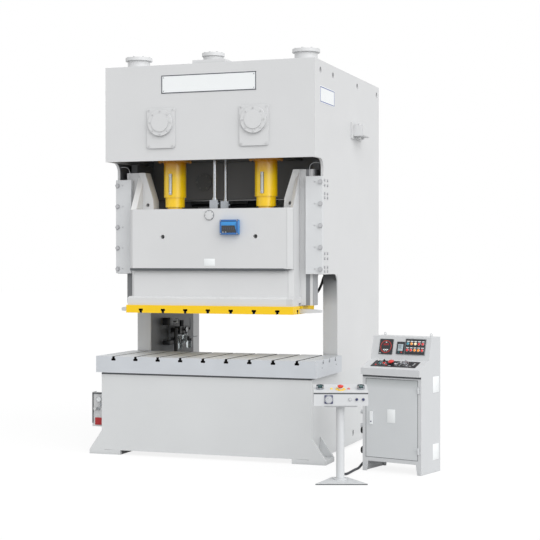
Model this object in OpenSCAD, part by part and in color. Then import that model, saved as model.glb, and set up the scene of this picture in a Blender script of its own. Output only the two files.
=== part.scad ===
// Two-point mechanical stamping press with a gap frame, its two-hand stand and its control desk.
// Millimetres. X runs left to right, Y from the operator to the rear, Z up from the floor.
// Lengths are measured from the middle of the bolster's front edge and moved to the origin at the end.
// The slide stands at the bottom of its stroke, with its height adjustment fully up.

/* [Bolster] */
// Width of the bolster
bolster_w = 2400; // [2000:1:2900]
// Depth of the bolster
bolster_d = 905; // [750:1:910]
// Thickness of the bolster
bolster_t = 170; // [120:1:220]
// Height of the bolster's top above the floor
bolster_top = 1024; // [850:1:1250]
// Number of T-slots in the bolster, front to back
bolster_slots = 9; // [3:2:9]
// Distance between two T-slots
slot_pitch = 250; // [150:1:260]
// Width of a T-slot's neck
slot_neck = 28; // [18:1:36]
// Width of a T-slot's head
slot_head = 48; // [40:1:60]
// Height of a T-slot's neck
slot_neck_h = 22; // [15:1:30]
// Height of a T-slot's head
slot_head_h = 22; // [15:1:30]

/* [Frame] */
// Width over the two side plates
frame_w = 2296; // [2200:1:2750]
// Depth from the bolster's front to the rear edge of the side plates
frame_back = 2634; // [2300:1:3100]
// Setback of the base behind the bolster's front
base_front = 27; // [20:1:120]
// Depth of the throat behind the bolster's front
throat_back = 915; // [911:1:1050]
// Thickness of the frame's plates
plate_t = 30; // [20:1:40]
// Width of each box column
column_w = 156; // [140:1:190]
// Depth of each box column
column_d = 1228; // [1000:1:1280]
// Height of the throat's upper edge
throat_top = 1876; // [1700:1:2050]
// Radius in the corners of the side plates
corner_r = 100; // [40:1:140]
// Reach of each front foot beyond the side plate
foot_reach = 142; // [60:1:200]
// Height at which a foot begins to widen
foot_rise = 250; // [180:1:320]
// Clear height of the arch under the base
arch_h = 48; // [30:1:70]

/* [Crown] */
// Height of the crown's lower edge
crown_bottom = 3048; // [3000:1:3300]
// Height of the crown's top
crown_top = 4033; // [3990:1:4600]
// Setback of the crown's front plate
crown_front = 121; // [80:1:160]
// Bore of the four lifting holes in each side plate
lift_bore = 64; // [40:1:90]
// Distance of the lifting holes below the crown's top
lift_drop = 99; // [70:1:150]

/* [Guides] */
// Setback of the guide plates' faces
gib_front = 370; // [340:1:400]
// Thickness of the guide plates
gib_t = 45; // [30:1:60]
// Height of the guide plates
gib_h = 992; // [800:1:1100]
// Width of the guide plates
gib_w = 176; // [160:1:190]
// Running clearance at the slide's guide faces
guide_gap = 0.3; // [0.2:0.05:0.6]
// Thickness of the bronze liners
liner_t = 15; // [10:1:20]

/* [Slide] */
// Width of the slide's body
slide_w = 1790; // [1600:1:1810]
// Setback of the slide's front
slide_front = 150; // [120:1:200]
// Setback of the slide's bottom plate
plate_front = 133; // [100:1:150]
// Chamfer on the slide's front edges
slide_edge = 44; // [10:1:60]
// Depth of the slide
slide_d = 690; // [600:1:760]
// Height of the slide's body without its bottom plate
slide_h = 994; // [900:1:1080]
// Distance from the bolster to the slide at the bottom of the stroke
die_height = 450; // [380:1:520]
// Thickness of the slide's bottom plate
slide_plate_t = 80; // [60:1:100]
// Width of the slide's bottom plate
slide_plate_w = 1834; // [1820:1:1880]
// Height of the recess step in the slide's front
step_z = 457; // [380:1:520]
// Depth of the recess in the slide's front
step_depth = 42; // [20:1:60]

/* [Drive] */
// Distance between the two crankshafts
crank_pitch = 1020; // [960:1:1080]
// Height of the crankshafts
crank_z = 3436; // [3410:1:3480]
// Working stroke
stroke = 250; // [160:1:260]
// Radius of the crankshaft's journals
journal_r = 90; // [70:1:95]
// Radius of the crank pin
pin_r = 80; // [60:1:85]
// Radius of a plunger
plunger_r = 118; // [105:1:122]
// Radius of the adjusting screw under a plunger
screw_r = 81.5; // [70:0.5:90]
// Running clearance of a shaft in its bush
shaft_gap = 0.08; // [0.03:0.01:0.1]
// Gap of a fixed bush or gear in its seat
seat_gap = 0.1; // [0.02:0.01:0.2]
// Teeth of a main gear
gear_teeth = 68; // [60:1:72]
// Teeth of the pinion
pinion_teeth = 9; // [9:1:14]
// Face width of a main gear
gear_w = 120; // [80:1:140]
// Flywheel radius
flywheel_r = 400; // [320:1:420]
// Motor pulley radius
pulley_r = 105; // [80:1:130]

/* [Control desk] */
// Width of the desk
desk_w = 633; // [500:1:700]
// Depth of the desk
desk_d = 390; // [340:1:460]
// Height of the desk's rear
desk_h = 1287; // [1200:1:1400]
// Height of the desk's front lip
lip_z = 990; // [900:1:1040]
// Where the desk stands, left to right
desk_x = 2061; // [1900:1:2300]
// Where the desk stands, front to back
desk_y = -13; // [-200:1:200]
// Turn of the desk about the vertical
desk_turn = -15; // [-40:1:40]

/* [Two-hand stand] */
// Width of the stand's box
stand_w = 494; // [420:1:600]
// Height of the stand's front edge
stand_h = 821; // [700:1:950]
// Front edge of the stand's floor plate
stand_base = 470; // [380:1:520]
// Radius of the stand's column
stand_r = 38; // [30:1:50]
// Where the stand is, left to right
stand_x = 1676; // [1500:1:1900]
// Where the stand is, front to back
stand_y = -790; // [-1000:1:-600]
// Turn of the stand about the vertical
stand_turn = 19; // [-40:1:40]

/* [Hidden] */
$fn = 48;
eps = 0.01;

// Bolster and base
bolster_bottom = bolster_top - bolster_t;
seat_h = 14;
seat_inset = 60;
base_top = bolster_bottom - seat_h;
half_w = frame_w / 2;
side_slot_y = [241, 453, 672];
side_slot_len = 120;
side_tap_y = [200, 700];
side_tap_r = 10;
side_tap_drop = 80;
deck_plate_t = 60;
base_rib_t = 25;
foot_web_t = 25;
foot_sole_t = 45;
foot_d = 300;
foot_in = 210;
side_hole_r = 35;
side_hole_y = 1533;
side_hole_z = 132;
side_drop = 20;

// Columns
column_in = half_w - column_w;
column_rear = throat_back + column_d;
gib_back = gib_front + gib_t;
guide_depth = 68;
recess_x = column_in + guide_depth;
recess_y = gib_back + liner_t * 2 + 130 + guide_gap * 2;

// Slide
slide_bottom = bolster_top + die_height;
slide_body_z = slide_bottom + slide_plate_t;
slide_top = slide_body_z + slide_h;
slide_half = slide_w / 2;
slide_back = slide_front + slide_d;
rail_out = half_w - gib_w - 2;
rail_y0 = gib_back + liner_t + guide_gap;
rail_top = slide_top + 399;
tongue_y1 = recess_y - liner_t - guide_gap;
tongue_x1 = recess_x - liner_t - guide_gap;
rail_z0 = slide_body_z + 6;
wall = 35;

// Drive
crank_r = stroke / 2;
crank_x = crank_pitch / 2;
crank_y = 480;
pin_len = 150;
web_len = 60;
web_r = (crank_r + pin_r + journal_r) / 2 + 4;
web_shift = (crank_r + pin_r - journal_r) / 2;
front_boss = 150;
bush_t = 14;
housing_y0 = 1000;
housing_t = 30;
housing_bottom = 2675;
housing_half = column_in;
gear_y0 = housing_y0 + housing_t + 25;
housing_y1 = gear_y0 + gear_w + 25;
gear_module = crank_pitch / gear_teeth;
gear_r = crank_x;
pinion_r = gear_module * pinion_teeth / 2;
pinion_x = -392;
pinion_z = crank_z - sqrt(pow(gear_r + pinion_r, 2) - pow(crank_x + pinion_x, 2));
pinion_journal_r = 45;
flywheel_y = column_rear + 110;
flywheel_w = 170;
motor_x = 480;
motor_z = pinion_z - 190;
belt_t = 10;
belt_w = 110;

// Plungers and their guides
deck_z0 = crown_bottom + 32;
deck_t = 40;
deck_half = 740;
plunger_z = slide_top + 131;
collar_z = slide_top + 29;
collar_r = screw_r + 21;
guide_wall = 25;
guide_flange_w = 34;
guide_flange_t = 26;
guide_outer_r = plunger_r + guide_wall;
guide_flange_r = guide_outer_r + guide_flange_w;
plunger_top = crank_z + web_shift - web_r - stroke - 4;
screw_len = 395;
nut_drop = 95;
nut_h = 150;
gauge_turn = 0;
gauge_w = 34;
gauge_out = 22;
gauge_z0 = 27;
gauge_h = 194;
rod_ring_r = 125;
rod_end_z = plunger_top + 29;

// Balancers
balancer_y = [328, 640];
balancer_rod_r = 18;
balancer_r = 75;
balancer_wall = 12;
balancer_h = 560;
clevis_w = 90;
clevis_h = 118;
piston_h = 40;
piston_z = deck_z0 + deck_t + 190;

// Covers
cover_w = 312;
cover_h = 413;
cover_t = 16;
cover_drop = 54;
cap_r = 135;
cap_t = 26;

// Control desk
lip_h = 66;
lip_out = 38;
desk_slope_y = 190;
desk_slope_z = 75;
desk_angle = atan2(desk_slope_z, desk_slope_y);
panel_lean = 60;
desk_wall = 3;
door_w = desk_w - 75;
door_h = 752;
door_z0 = 137;
door_t = 20;
door_gap = 2;
hinge_r = 8;

// Two-hand stand
stand_box_h = 121;
stand_box_d = 240;
stand_box_rise = 52;
stand_angle = atan2(stand_box_rise, stand_box_d);
stand_plate_t = 12;

// Cord from the stand to the desk, along the floor
cord_r = 12.5;
cord_path = [[1640, -735, 60], [1631, -709, 58], [1624, -670, 50], [1625, -625, 36],
    [1634, -580, 28], [1643, -530, 20], [1648, -470, 14], [1650, -400, 13], [1650, -330, 13],
    [1650, -270, 13], [1650, -215, 13], [1652, -165, 13], [1655, -120, 13], [1658, -75, 17],
    [1662, -32, 28], [1670, 2, 44], [1685, 20, 60], [1706, 18, 68], [1729, 12, 70]];
gland_r = 18;
gland_len = 28;

// The origin lies under the middle of the whole installation
air_reach = 195;
left_x = -half_w - air_reach;
right_x = desk_x + desk_w / 2 * cos(desk_turn) + desk_d / 2 * abs(sin(desk_turn));
front_y = stand_y - stand_base / 2 * (cos(stand_turn) + sin(stand_turn));
centre_x = round((left_x + right_x) / 2);
centre_y = round((front_y + frame_back) / 2);

module placed() {
    translate([-centre_x, -centre_y, 0]) children();
}
module block(x0, x1, y0, y1, z0, z1) {
    translate([x0, y0, z0]) cube([x1 - x0, y1 - y0, z1 - z0]);
}
module both_sides() {
    children();
    mirror([1, 0, 0]) children();
}
// A side's own parts are drawn at the right, and mirrored for the left
module on_side(side) {
    if (side > 0) children();
    else mirror([1, 0, 0]) children();
}
// A bar of radius r along Y, from y0 to y1
module bar_y(x, z, r, y0, y1) {
    translate([x, y1, z]) rotate([90, 0, 0]) cylinder(r = r, h = y1 - y0);
}
// A bar of radius r along X, from x0 to x1
module bar_x(y, z, r, x0, x1) {
    translate([x0, y, z]) rotate([0, 90, 0]) cylinder(r = r, h = x1 - x0);
}
module bar_z(x, y, r, z0, z1) {
    translate([x, y, z0]) cylinder(r = r, h = z1 - z0);
}
// An outline in Y and Z, thickened along X
module plate_x(x0, t) {
    translate([x0, 0, 0]) rotate([90, 0, 90]) linear_extrude(t) children();
}
// An outline in X and Z, thickened along Y from y0
module plate_y(y0, t) {
    translate([0, y0 + t, 0]) rotate([90, 0, 0]) linear_extrude(t) children();
}
// A square with round corners
module round_rect(w, h, r) {
    union() {
        square([w - 2 * r, h], center = true);
        square([w, h - 2 * r], center = true);
        for (sx = [-1, 1], sy = [-1, 1]) translate([sx * (w / 2 - r), sy * (h / 2 - r)]) circle(r);
    }
}
// The concave corner that fills a right angle at the origin towards +x +y
module corner_fill(r) {
    difference() {
        square(r);
        translate([r, r]) circle(r);
    }
}
// A hexagon bolt with its washer, standing on the plane z = 0
module hex_bolt(d) {
    union() {
        cylinder(d = d * 2.1, h = d * 0.16);
        translate([0, 0, d * 0.16]) cylinder(d = d * 1.8, h = d * 0.6, $fn = 6);
    }
}
// A socket screw's head, standing on the plane z = 0
module socket_head(d) {
    difference() {
        cylinder(d = d * 1.55, h = d * 0.7);
        translate([0, 0, d * 0.3]) cylinder(d = d * 0.8, h = d, $fn = 6);
    }
}
// Children made on z = 0 are turned to stand on a face that looks to the front
module facing_front(x, y, z) {
    translate([x, y, z]) rotate([90, 0, 0]) children();
}
// Children made on z = 0 are turned to stand on a face that looks to the right
module facing_right(x, y, z) {
    translate([x, y, z]) rotate([0, 90, 0]) children();
}

// --- bolster ---------------------------------------------------------------
// One T-slot along Y, with its mouth in the plane z = 0
module t_slot_y(y0, y1) {
    block(-slot_neck / 2, slot_neck / 2, y0, y1, -slot_neck_h, 1);
    block(-slot_head / 2, slot_head / 2, y0, y1, -slot_neck_h - slot_head_h, -slot_neck_h + eps);
}
module bolster() {
    placed() color("gainsboro") difference() {
        block(-bolster_w / 2, bolster_w / 2, 0, bolster_d, bolster_bottom, bolster_top);
        for (i = [0:bolster_slots - 1])
            translate([(i - (bolster_slots - 1) / 2) * slot_pitch, 0, bolster_top])
                t_slot_y(-1, bolster_d + 1);
        both_sides() for (y = side_slot_y) {
            translate([bolster_w / 2, y, bolster_top]) rotate([0, 0, 90])
                t_slot_y(-1, side_slot_len);
        }
        both_sides() for (y = side_tap_y)
            bar_x(y, bolster_top - side_tap_drop, side_tap_r, bolster_w / 2 - 60, bolster_w / 2 + 1);
    }
}

// --- welded frame ----------------------------------------------------------
// One foot at a right-hand corner: sole, two webs and the edge plate between them
module foot_outline() {
    polygon([[half_w - foot_in, 0], [half_w + foot_reach, 0], [half_w + foot_reach, foot_sole_t],
        [half_w, foot_rise], [half_w - plate_t, foot_rise], [half_w - plate_t, foot_sole_t],
        [half_w - foot_in, foot_sole_t + 3]]);
}
module foot(y0) {
    block(half_w - foot_in, half_w + foot_reach, y0, y0 + foot_d, 0, foot_sole_t);
    plate_y(y0, foot_web_t) foot_outline();
    plate_y(y0 + foot_d - foot_web_t, foot_web_t) foot_outline();
}
module base() {
    placed() color("lightgray") union() {
        difference() {
            block(-half_w, half_w, base_front, frame_back, arch_h, base_top);
            block(-half_w + plate_t, half_w - plate_t, base_front + plate_t, frame_back - plate_t,
                arch_h - 1, base_top - deck_plate_t);
            both_sides() bar_x(side_hole_y, side_hole_z, side_hole_r, half_w - plate_t - 1, half_w + 1);
            block(-slide_half, slide_half, frame_back - plate_t - 1, frame_back + 1,
                arch_h + 150, base_top - deck_plate_t - 100);
        }
        for (x = [-700, 0, 700])
            block(x - base_rib_t / 2, x + base_rib_t / 2, base_front + plate_t, frame_back - plate_t,
                arch_h + 100, base_top - deck_plate_t);
        both_sides() {
            foot(base_front);
            foot(frame_back - foot_d);
            block(half_w - plate_t, half_w, base_front + foot_d - 1, frame_back - foot_d + 1,
                side_drop, arch_h + 1);
        }
        for (x = [-900, -300, 300, 900])
            block(x - 120, x + 120, seat_inset + base_front, bolster_d - seat_inset,
                base_top, bolster_bottom);
    }
}
// Outline of a column's side plate, in Y and Z
module side_outline() {
    union() {
        polygon([[throat_back, base_top], [frame_back, base_top], [frame_back, crown_bottom],
            [gib_back, crown_bottom], [gib_back, throat_top], [throat_back, throat_top]]);
        translate([throat_back, throat_top]) rotate(180) corner_fill(corner_r);
        translate([gib_back, crown_bottom]) rotate(180) corner_fill(corner_r);
    }
}
module column() {
    union() {
        plate_x(half_w - plate_t, plate_t) side_outline();
        block(column_in, half_w - plate_t, throat_back, throat_back + plate_t, base_top, throat_top);
        block(column_in, column_in + plate_t, throat_back + plate_t, column_rear, base_top,
            crown_bottom);
        block(column_in + plate_t, half_w - plate_t, column_rear - plate_t, column_rear, base_top,
            crown_bottom);
        block(column_in, column_in + plate_t, recess_y, throat_back + plate_t, throat_top, crown_bottom);
        block(recess_x, recess_x + plate_t, gib_back, recess_y + plate_t, throat_top, gib_z0 + gib_h);
        block(column_in + plate_t, recess_x, recess_y, recess_y + plate_t, throat_top, crown_bottom);
        block(recess_x, half_w - plate_t, gib_back, gib_back + plate_t, throat_top, gib_z0 + gib_h);
        block(recess_x + plate_t, half_w - plate_t, gib_back + plate_t, throat_back,
            throat_top, throat_top + plate_t);
        block(column_in + plate_t, half_w - plate_t, recess_y + plate_t, throat_back + plate_t,
            throat_top, throat_top + plate_t);
    }
}
module column_left() { placed() color("lightgray") on_side(-1) column(); }
module column_right() { placed() color("gainsboro") on_side(1) column(); }

lift_y = [314, 754, 1691, 2530];
weld_gap = 0.1;
boss_wall = 50;
crown_in = half_w - plate_t - weld_gap;
// The crown's plates are separate, and meet with the gap of a welded seam
module crown() {
    placed() color("lightgray") {
        difference() {
            block(-half_w, half_w, crown_front, crown_front + plate_t, crown_bottom, crown_top);
            both_sides() bar_y(crank_x, crank_z, journal_r + bush_t, crown_front - 1,
                crown_front + plate_t + 1);
        }
        both_sides() difference() {
            bar_y(crank_x, crank_z, journal_r + bush_t + boss_wall, crown_front + plate_t + weld_gap,
                crown_front + front_boss);
            bar_y(crank_x, crank_z, journal_r + bush_t, crown_front, crown_front + front_boss + 1);
        }
        both_sides() difference() {
            block(half_w - plate_t, half_w, crown_front + plate_t + weld_gap, frame_back,
                crown_bottom, crown_top);
            for (y = lift_y)
                bar_x(y, crown_top - lift_drop, lift_bore / 2, half_w - plate_t - 1, half_w + 1);
        }
        block(-crown_in, crown_in, crown_front + plate_t + weld_gap, frame_back,
            crown_top - plate_t, crown_top);
        block(-crown_in, crown_in, frame_back - plate_t, frame_back, crown_bottom,
            crown_top - plate_t - weld_gap);
        difference() {
            block(-deck_half, deck_half, crown_front + plate_t + weld_gap, housing_y0 - weld_gap,
                deck_z0, deck_z0 + deck_t);
            both_sides() bar_z(crank_x, crank_y, guide_outer_r + seat_gap, deck_z0 - 1,
                deck_z0 + deck_t + 1);
            for (y = balancer_y)
                bar_z(0, y, balancer_rod_r + 12, deck_z0 - 1, deck_z0 + deck_t + 1);
        }
    }
}
module gear_housing() {
    placed() color("darkgray") difference() {
        union() {
            for (y = [housing_y0, housing_y1])
                block(-housing_half, housing_half, y, y + housing_t, housing_bottom, crown_top - plate_t);
            block(-housing_half, housing_half, housing_y0 + housing_t, housing_y1,
                housing_bottom, housing_bottom + housing_t);
            both_sides() block(housing_half - housing_t, housing_half, housing_y0 + housing_t,
                housing_y1, housing_bottom + housing_t, crown_bottom);
            block(pinion_x - 90, pinion_x + 90, housing_y1 + housing_t, column_rear,
                pinion_z - 100, pinion_z + 100);
            block(-housing_half, pinion_x + 90, column_rear - housing_t, column_rear,
                pinion_z - 220, pinion_z - 60);
        }
        for (sx = [-1, 1])
            bar_y(sx * crank_x, crank_z, journal_r + bush_t, housing_y0 - 1, housing_y1 + housing_t + 1);
        bar_y(pinion_x, pinion_z, pinion_journal_r + bush_t, housing_y0 - 1,
            housing_y0 + housing_t + 1);
        bar_y(pinion_x, pinion_z, pinion_journal_r + bush_t, housing_y1 - 1, column_rear + 1);
    }
}

// --- guides ----------------------------------------------------------------
gib_z0 = throat_top + 4;
gib_bolt_d = 24;
gib_rows = 5;
gib_bolt_x = half_w - 20;
gib_bolt_z0 = 48;
gib_bolt_pitch = (gib_h - 2 * gib_bolt_z0 - 12) / (gib_rows - 1);
module gib() {
    difference() {
        block(half_w - gib_w, half_w, gib_front, gib_back, gib_z0, gib_z0 + gib_h);
        for (i = [0:gib_rows - 1])
            facing_front(gib_bolt_x - 60, gib_front + 6, gib_z0 + gib_bolt_z0 + i * gib_bolt_pitch)
                cylinder(d = 18, h = 10);
    }
}
module gib_left() { placed() color("gainsboro") on_side(-1) gib(); }
module gib_right() { placed() color("gainsboro") on_side(1) gib(); }
module guide_liners() {
    placed() color("peru") union() {
        both_sides() {
            block(half_w - gib_w + 8, tongue_x1, gib_back, gib_back + liner_t, gib_z0 + 10,
                gib_z0 + gib_h - 10);
            block(column_in, tongue_x1, recess_y - liner_t, recess_y, gib_z0 + 10, gib_z0 + gib_h - 10);
            block(recess_x - liner_t, recess_x, gib_back + liner_t, recess_y - liner_t, gib_z0 + 10,
                gib_z0 + gib_h - 10);
            crank_bush(crown_front + 10, crown_front + front_boss);
            crank_bush(housing_y0, housing_y0 + housing_t);
            crank_bush(housing_y1, housing_y1 + housing_t);
        }
        pinion_bush(housing_y0, housing_y0 + housing_t);
        pinion_bush(housing_y1, housing_y1 + 120);
        pinion_bush(column_rear - 120, column_rear);
    }
}
module crank_bush(y0, y1) {
    difference() {
        bar_y(crank_x, crank_z, journal_r + bush_t, y0, y1);
        bar_y(crank_x, crank_z, journal_r + shaft_gap, y0 - 1, y1 + 1);
    }
}
module pinion_bush(y0, y1) {
    difference() {
        bar_y(pinion_x, pinion_z, pinion_journal_r + bush_t, y0, y1);
        bar_y(pinion_x, pinion_z, pinion_journal_r + shaft_gap, y0 - 1, y1 + 1);
    }
}
// Bolts that hold the guide plates, from the front and through the side plates
side_bolt_y = [450, 550];
side_bolt_z = [32, 74, 161, 214, 779, 822, 907, 957];
module frame_bolts() {
    placed() color("silver") both_sides() {
        for (i = [0:gib_rows - 1])
            facing_front(gib_bolt_x, gib_front, gib_z0 + gib_bolt_z0 + i * gib_bolt_pitch)
                hex_bolt(gib_bolt_d);
        for (y = side_bolt_y, z = side_bolt_z)
            facing_right(half_w, y, throat_top + z) hex_bolt(14);
    }
    placed() color("silver") for (x = [-crank_x, crank_x], a = [0:7])
        translate([x, crank_y, deck_z0 - guide_flange_t]) rotate(a * 45 + gauge_turn - 90 + 22.5)
            translate([guide_flange_r - 18, 0, 0]) rotate([180, 0, 0]) hex_bolt(14);
}

// --- covers and plates -----------------------------------------------------
cap_bolts = 8;
module crank_cover() {
    plate_y(crown_front - cover_t, cover_t)
        translate([crank_x, crank_z - cover_drop]) round_rect(cover_w, cover_h, 24);
    bar_y(crank_x, crank_z, cap_r, crown_front - cover_t - cap_t, crown_front - cover_t);
    bar_y(crank_x, crank_z, cap_r - 42, crown_front - cover_t - cap_t - 8,
        crown_front - cover_t - cap_t);
    for (a = [0:cap_bolts - 1])
        facing_front(crank_x + (cap_r - 18) * cos(a * 45), crown_front - cover_t - cap_t,
            crank_z + (cap_r - 18) * sin(a * 45)) socket_head(10);
    for (sx = [-1, 1], sz = [-1, 1])
        facing_front(crank_x + sx * (cover_w / 2 - 22), crown_front - cover_t,
            crank_z - cover_drop + sz * (cover_h / 2 - 22)) socket_head(12);
}
pinion_cap_r = 91;
module bearing_covers() {
    placed() color("gainsboro") {
        both_sides() union() crank_cover();
        union() {
            bar_y(pinion_x, pinion_z, pinion_cap_r, housing_y0 - 20, housing_y0);
            for (a = [0:5])
                facing_front(pinion_x + (pinion_cap_r - 16) * cos(a * 60), housing_y0 - 20,
                    pinion_z + (pinion_cap_r - 16) * sin(a * 60)) socket_head(10);
        }
    }
}
cap_x = 937;
cap_y = 498;
cap_flange_r = 143;
cap_neck_r = 119;
cap_h = 142;
mid_cap_y = 290;
mid_cap_r = 117;
mid_base_w = 360;
module top_cap(r_flange, r_neck, h) {
    cylinder(r = r_neck, h = h - 34);
    translate([0, 0, h - 34]) cylinder(r = r_flange, h = 34);
    for (a = [0:7]) rotate(a * 45) translate([r_flange - 20, 0, h]) hex_bolt(12);
}
module top_caps() {
    placed() color("lightgray") {
        both_sides() translate([cap_x, cap_y, crown_top]) union() top_cap(cap_flange_r, cap_neck_r, cap_h);
        union() {
            block(-mid_base_w / 2, mid_base_w / 2, mid_cap_y - 130, mid_cap_y + 130,
                crown_top, crown_top + 40);
            translate([0, mid_cap_y, crown_top + 40]) top_cap(mid_cap_r, mid_cap_r - 14, 78);
        }
    }
}
plate_w = 1038;
plate_h = 186;
plate_cx = 11;
plate_cz = 202;
side_plate_y0 = 294;
side_plate_y1 = 804;
side_plate_h = 170;
module name_plates() {
    placed() color("white") {
        plate_y(crown_front - 3, 3)
            translate([plate_cx, crown_top - plate_cz]) round_rect(plate_w, plate_h, 6);
        block(half_w, half_w + 2, side_plate_y0, side_plate_y1, crown_top - 426, crown_top - 426 + side_plate_h);
    }
}
box_y0 = 1488;
box_y1 = 1773;
box_z0 = 3371;
box_z1 = 3488;
box_out = 117;
module encoder_box() {
    placed() color("whitesmoke") union() {
        block(half_w, half_w + 12, box_y0 - 60, box_y1 + 60, box_z0 - 30, box_z1 + 30);
        block(half_w + 12, half_w + box_out, box_y0, box_y1, box_z0, box_z1);
        block(half_w + box_out, half_w + box_out + 4, box_y0 + 8, box_y1 - 8, box_z0 + 6, box_z1 - 6);
        for (y = [box_y0 + 70, box_y1 - 70]) {
            bar_z(half_w + 60, y, 16, box_z1, box_z1 + 26);
            bar_z(half_w + 60, y, 16, box_z0 - 26, box_z0);
        }
    }
}

// --- plungers, guides and balancers ----------------------------------------
// Flanged guide bush; its slot lets the sight gauge on the plunger pass
module plunger_guide(x) {
    translate([x, crank_y, 0]) difference() {
        union() {
            translate([0, 0, deck_z0]) cylinder(r = guide_outer_r, h = deck_t);
            translate([0, 0, deck_z0 - guide_flange_t]) cylinder(r = guide_flange_r, h = guide_flange_t);
        }
        translate([0, 0, deck_z0 - guide_flange_t - 1])
            cylinder(r = plunger_r + shaft_gap, h = deck_t + guide_flange_t + 2);
        rotate(gauge_turn) block(-gauge_w / 2 - 3, gauge_w / 2 + 3, -plunger_r - gauge_out - 3, 0,
            deck_z0 - guide_flange_t - 1, deck_z0 + deck_t + 1);
    }
}
module plunger_guide_left() { placed() color("gold") plunger_guide(-crank_x); }
module plunger_guide_right() { placed() color("gold") plunger_guide(crank_x); }
module oil_gauges() {
    placed() color("silver") for (sx = [-1, 1]) translate([sx * crank_x, crank_y, 0]) rotate(gauge_turn)
        translate([0, -plunger_r, plunger_z]) union() {
            for (z = [gauge_z0, gauge_z0 + gauge_h])
                block(-gauge_w / 2, gauge_w / 2, -gauge_out, 0, z, z + 26);
            bar_z(0, -12, 8, gauge_z0 + 26, gauge_z0 + gauge_h);
        }
}
module plungers() {
    placed() color("gold") both_sides() difference() {
        union() {
            bar_z(crank_x, crank_y, plunger_r, plunger_z, plunger_top);
            bar_z(crank_x, crank_y, collar_r, collar_z, plunger_z);
            bar_z(crank_x, crank_y, screw_r, slide_top - screw_len, collar_z);
        }
        translate([crank_x, crank_y, plunger_top + 20]) sphere(80);
    }
}
module balancer_cylinders() {
    placed() color("dimgray") for (y = balancer_y) difference() {
        bar_z(0, y, balancer_r, deck_z0 + deck_t, deck_z0 + deck_t + balancer_h);
        bar_z(0, y, balancer_r - balancer_wall, deck_z0 + deck_t + 30,
            deck_z0 + deck_t + balancer_h - 20);
        bar_z(0, y, balancer_rod_r + shaft_gap, deck_z0 + deck_t - 1, deck_z0 + deck_t + 31);
    }
}
module balancer_rods() {
    placed() color("silver") for (y = balancer_y) union() {
        block(-clevis_w / 2, clevis_w / 2, y - 32, y + 32, slide_top, slide_top + clevis_h - 24);
        bar_z(0, y, balancer_rod_r + 9, slide_top + clevis_h - 24, slide_top + clevis_h);
        bar_x(y, slide_top + 56, 14, -clevis_w / 2 - 8, clevis_w / 2 + 8);
        bar_z(0, y, balancer_rod_r, slide_top + clevis_h, piston_z);
        bar_z(0, y, balancer_r - balancer_wall - 0.1, piston_z, piston_z + piston_h);
    }
}

// --- slide -----------------------------------------------------------------
nut_r = 150;
cover_x = 10;
cover_hole_z = 68;
counter_x0 = 145;
counter_w = 201;
counter_h = 153;
counter_z = 116;
front_hole_r = 22;
front_hole_z = 286;
plinth_h = 74;
flare_h = 18;
plinth_half = slide_plate_w / 2 - 9;
rib_t = 45;
rib_skew = 40;
rib_y0 = slide_front + slide_edge + 4;
rib_y1 = rail_y0 - 5;
wing_y = 410;
wing_t = 140;
wing_clear = 4;
wing_in = max(slide_half - 168, crank_x + plunger_r + wing_clear);
wing_corner = 107;
wing_top = slide_half - 69;
wing_hole_r = 19;
wing_hole_x = max(slide_half - 100, wing_in + 50);
wing_hole_z = 56;
plate_slot_y = 280;
plate_slot_len = 110;
knock_z0 = 8;
knock_h = 42;
knock_w = 76;
knock_lift = 60;
knock_y = 386;
knock_gap = 1;
knock_left = 1073;
knock_right = 1136;
knock_taper = 130;
// Plan of the slide's body with chamfered front edges, in X and Y
module slide_plan(front) {
    polygon([[-slide_half, front + slide_edge], [-slide_half + slide_edge, front],
        [slide_half - slide_edge, front], [slide_half, front + slide_edge],
        [slide_half, slide_back], [-slide_half, slide_back]]);
}
// The slide's side plate rises as a rib with a leaning front edge
module rib() {
    inner = slide_half - rib_t;
    polyhedron([[slide_half, rib_y0, slide_top], [inner, rib_y0 + rib_skew, slide_top],
        [inner, wing_y + wing_t, slide_top], [slide_half, wing_y + wing_t, slide_top],
        [slide_half, rib_y1, rail_top], [inner, rib_y1 + rib_skew, rail_top],
        [inner, wing_y + wing_t, rail_top], [slide_half, wing_y + wing_t, rail_top]],
        [[3, 2, 1, 0], [4, 5, 6, 7], [0, 1, 5, 4], [1, 2, 6, 5], [2, 3, 7, 6], [3, 0, 4, 7]]);
}
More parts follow.
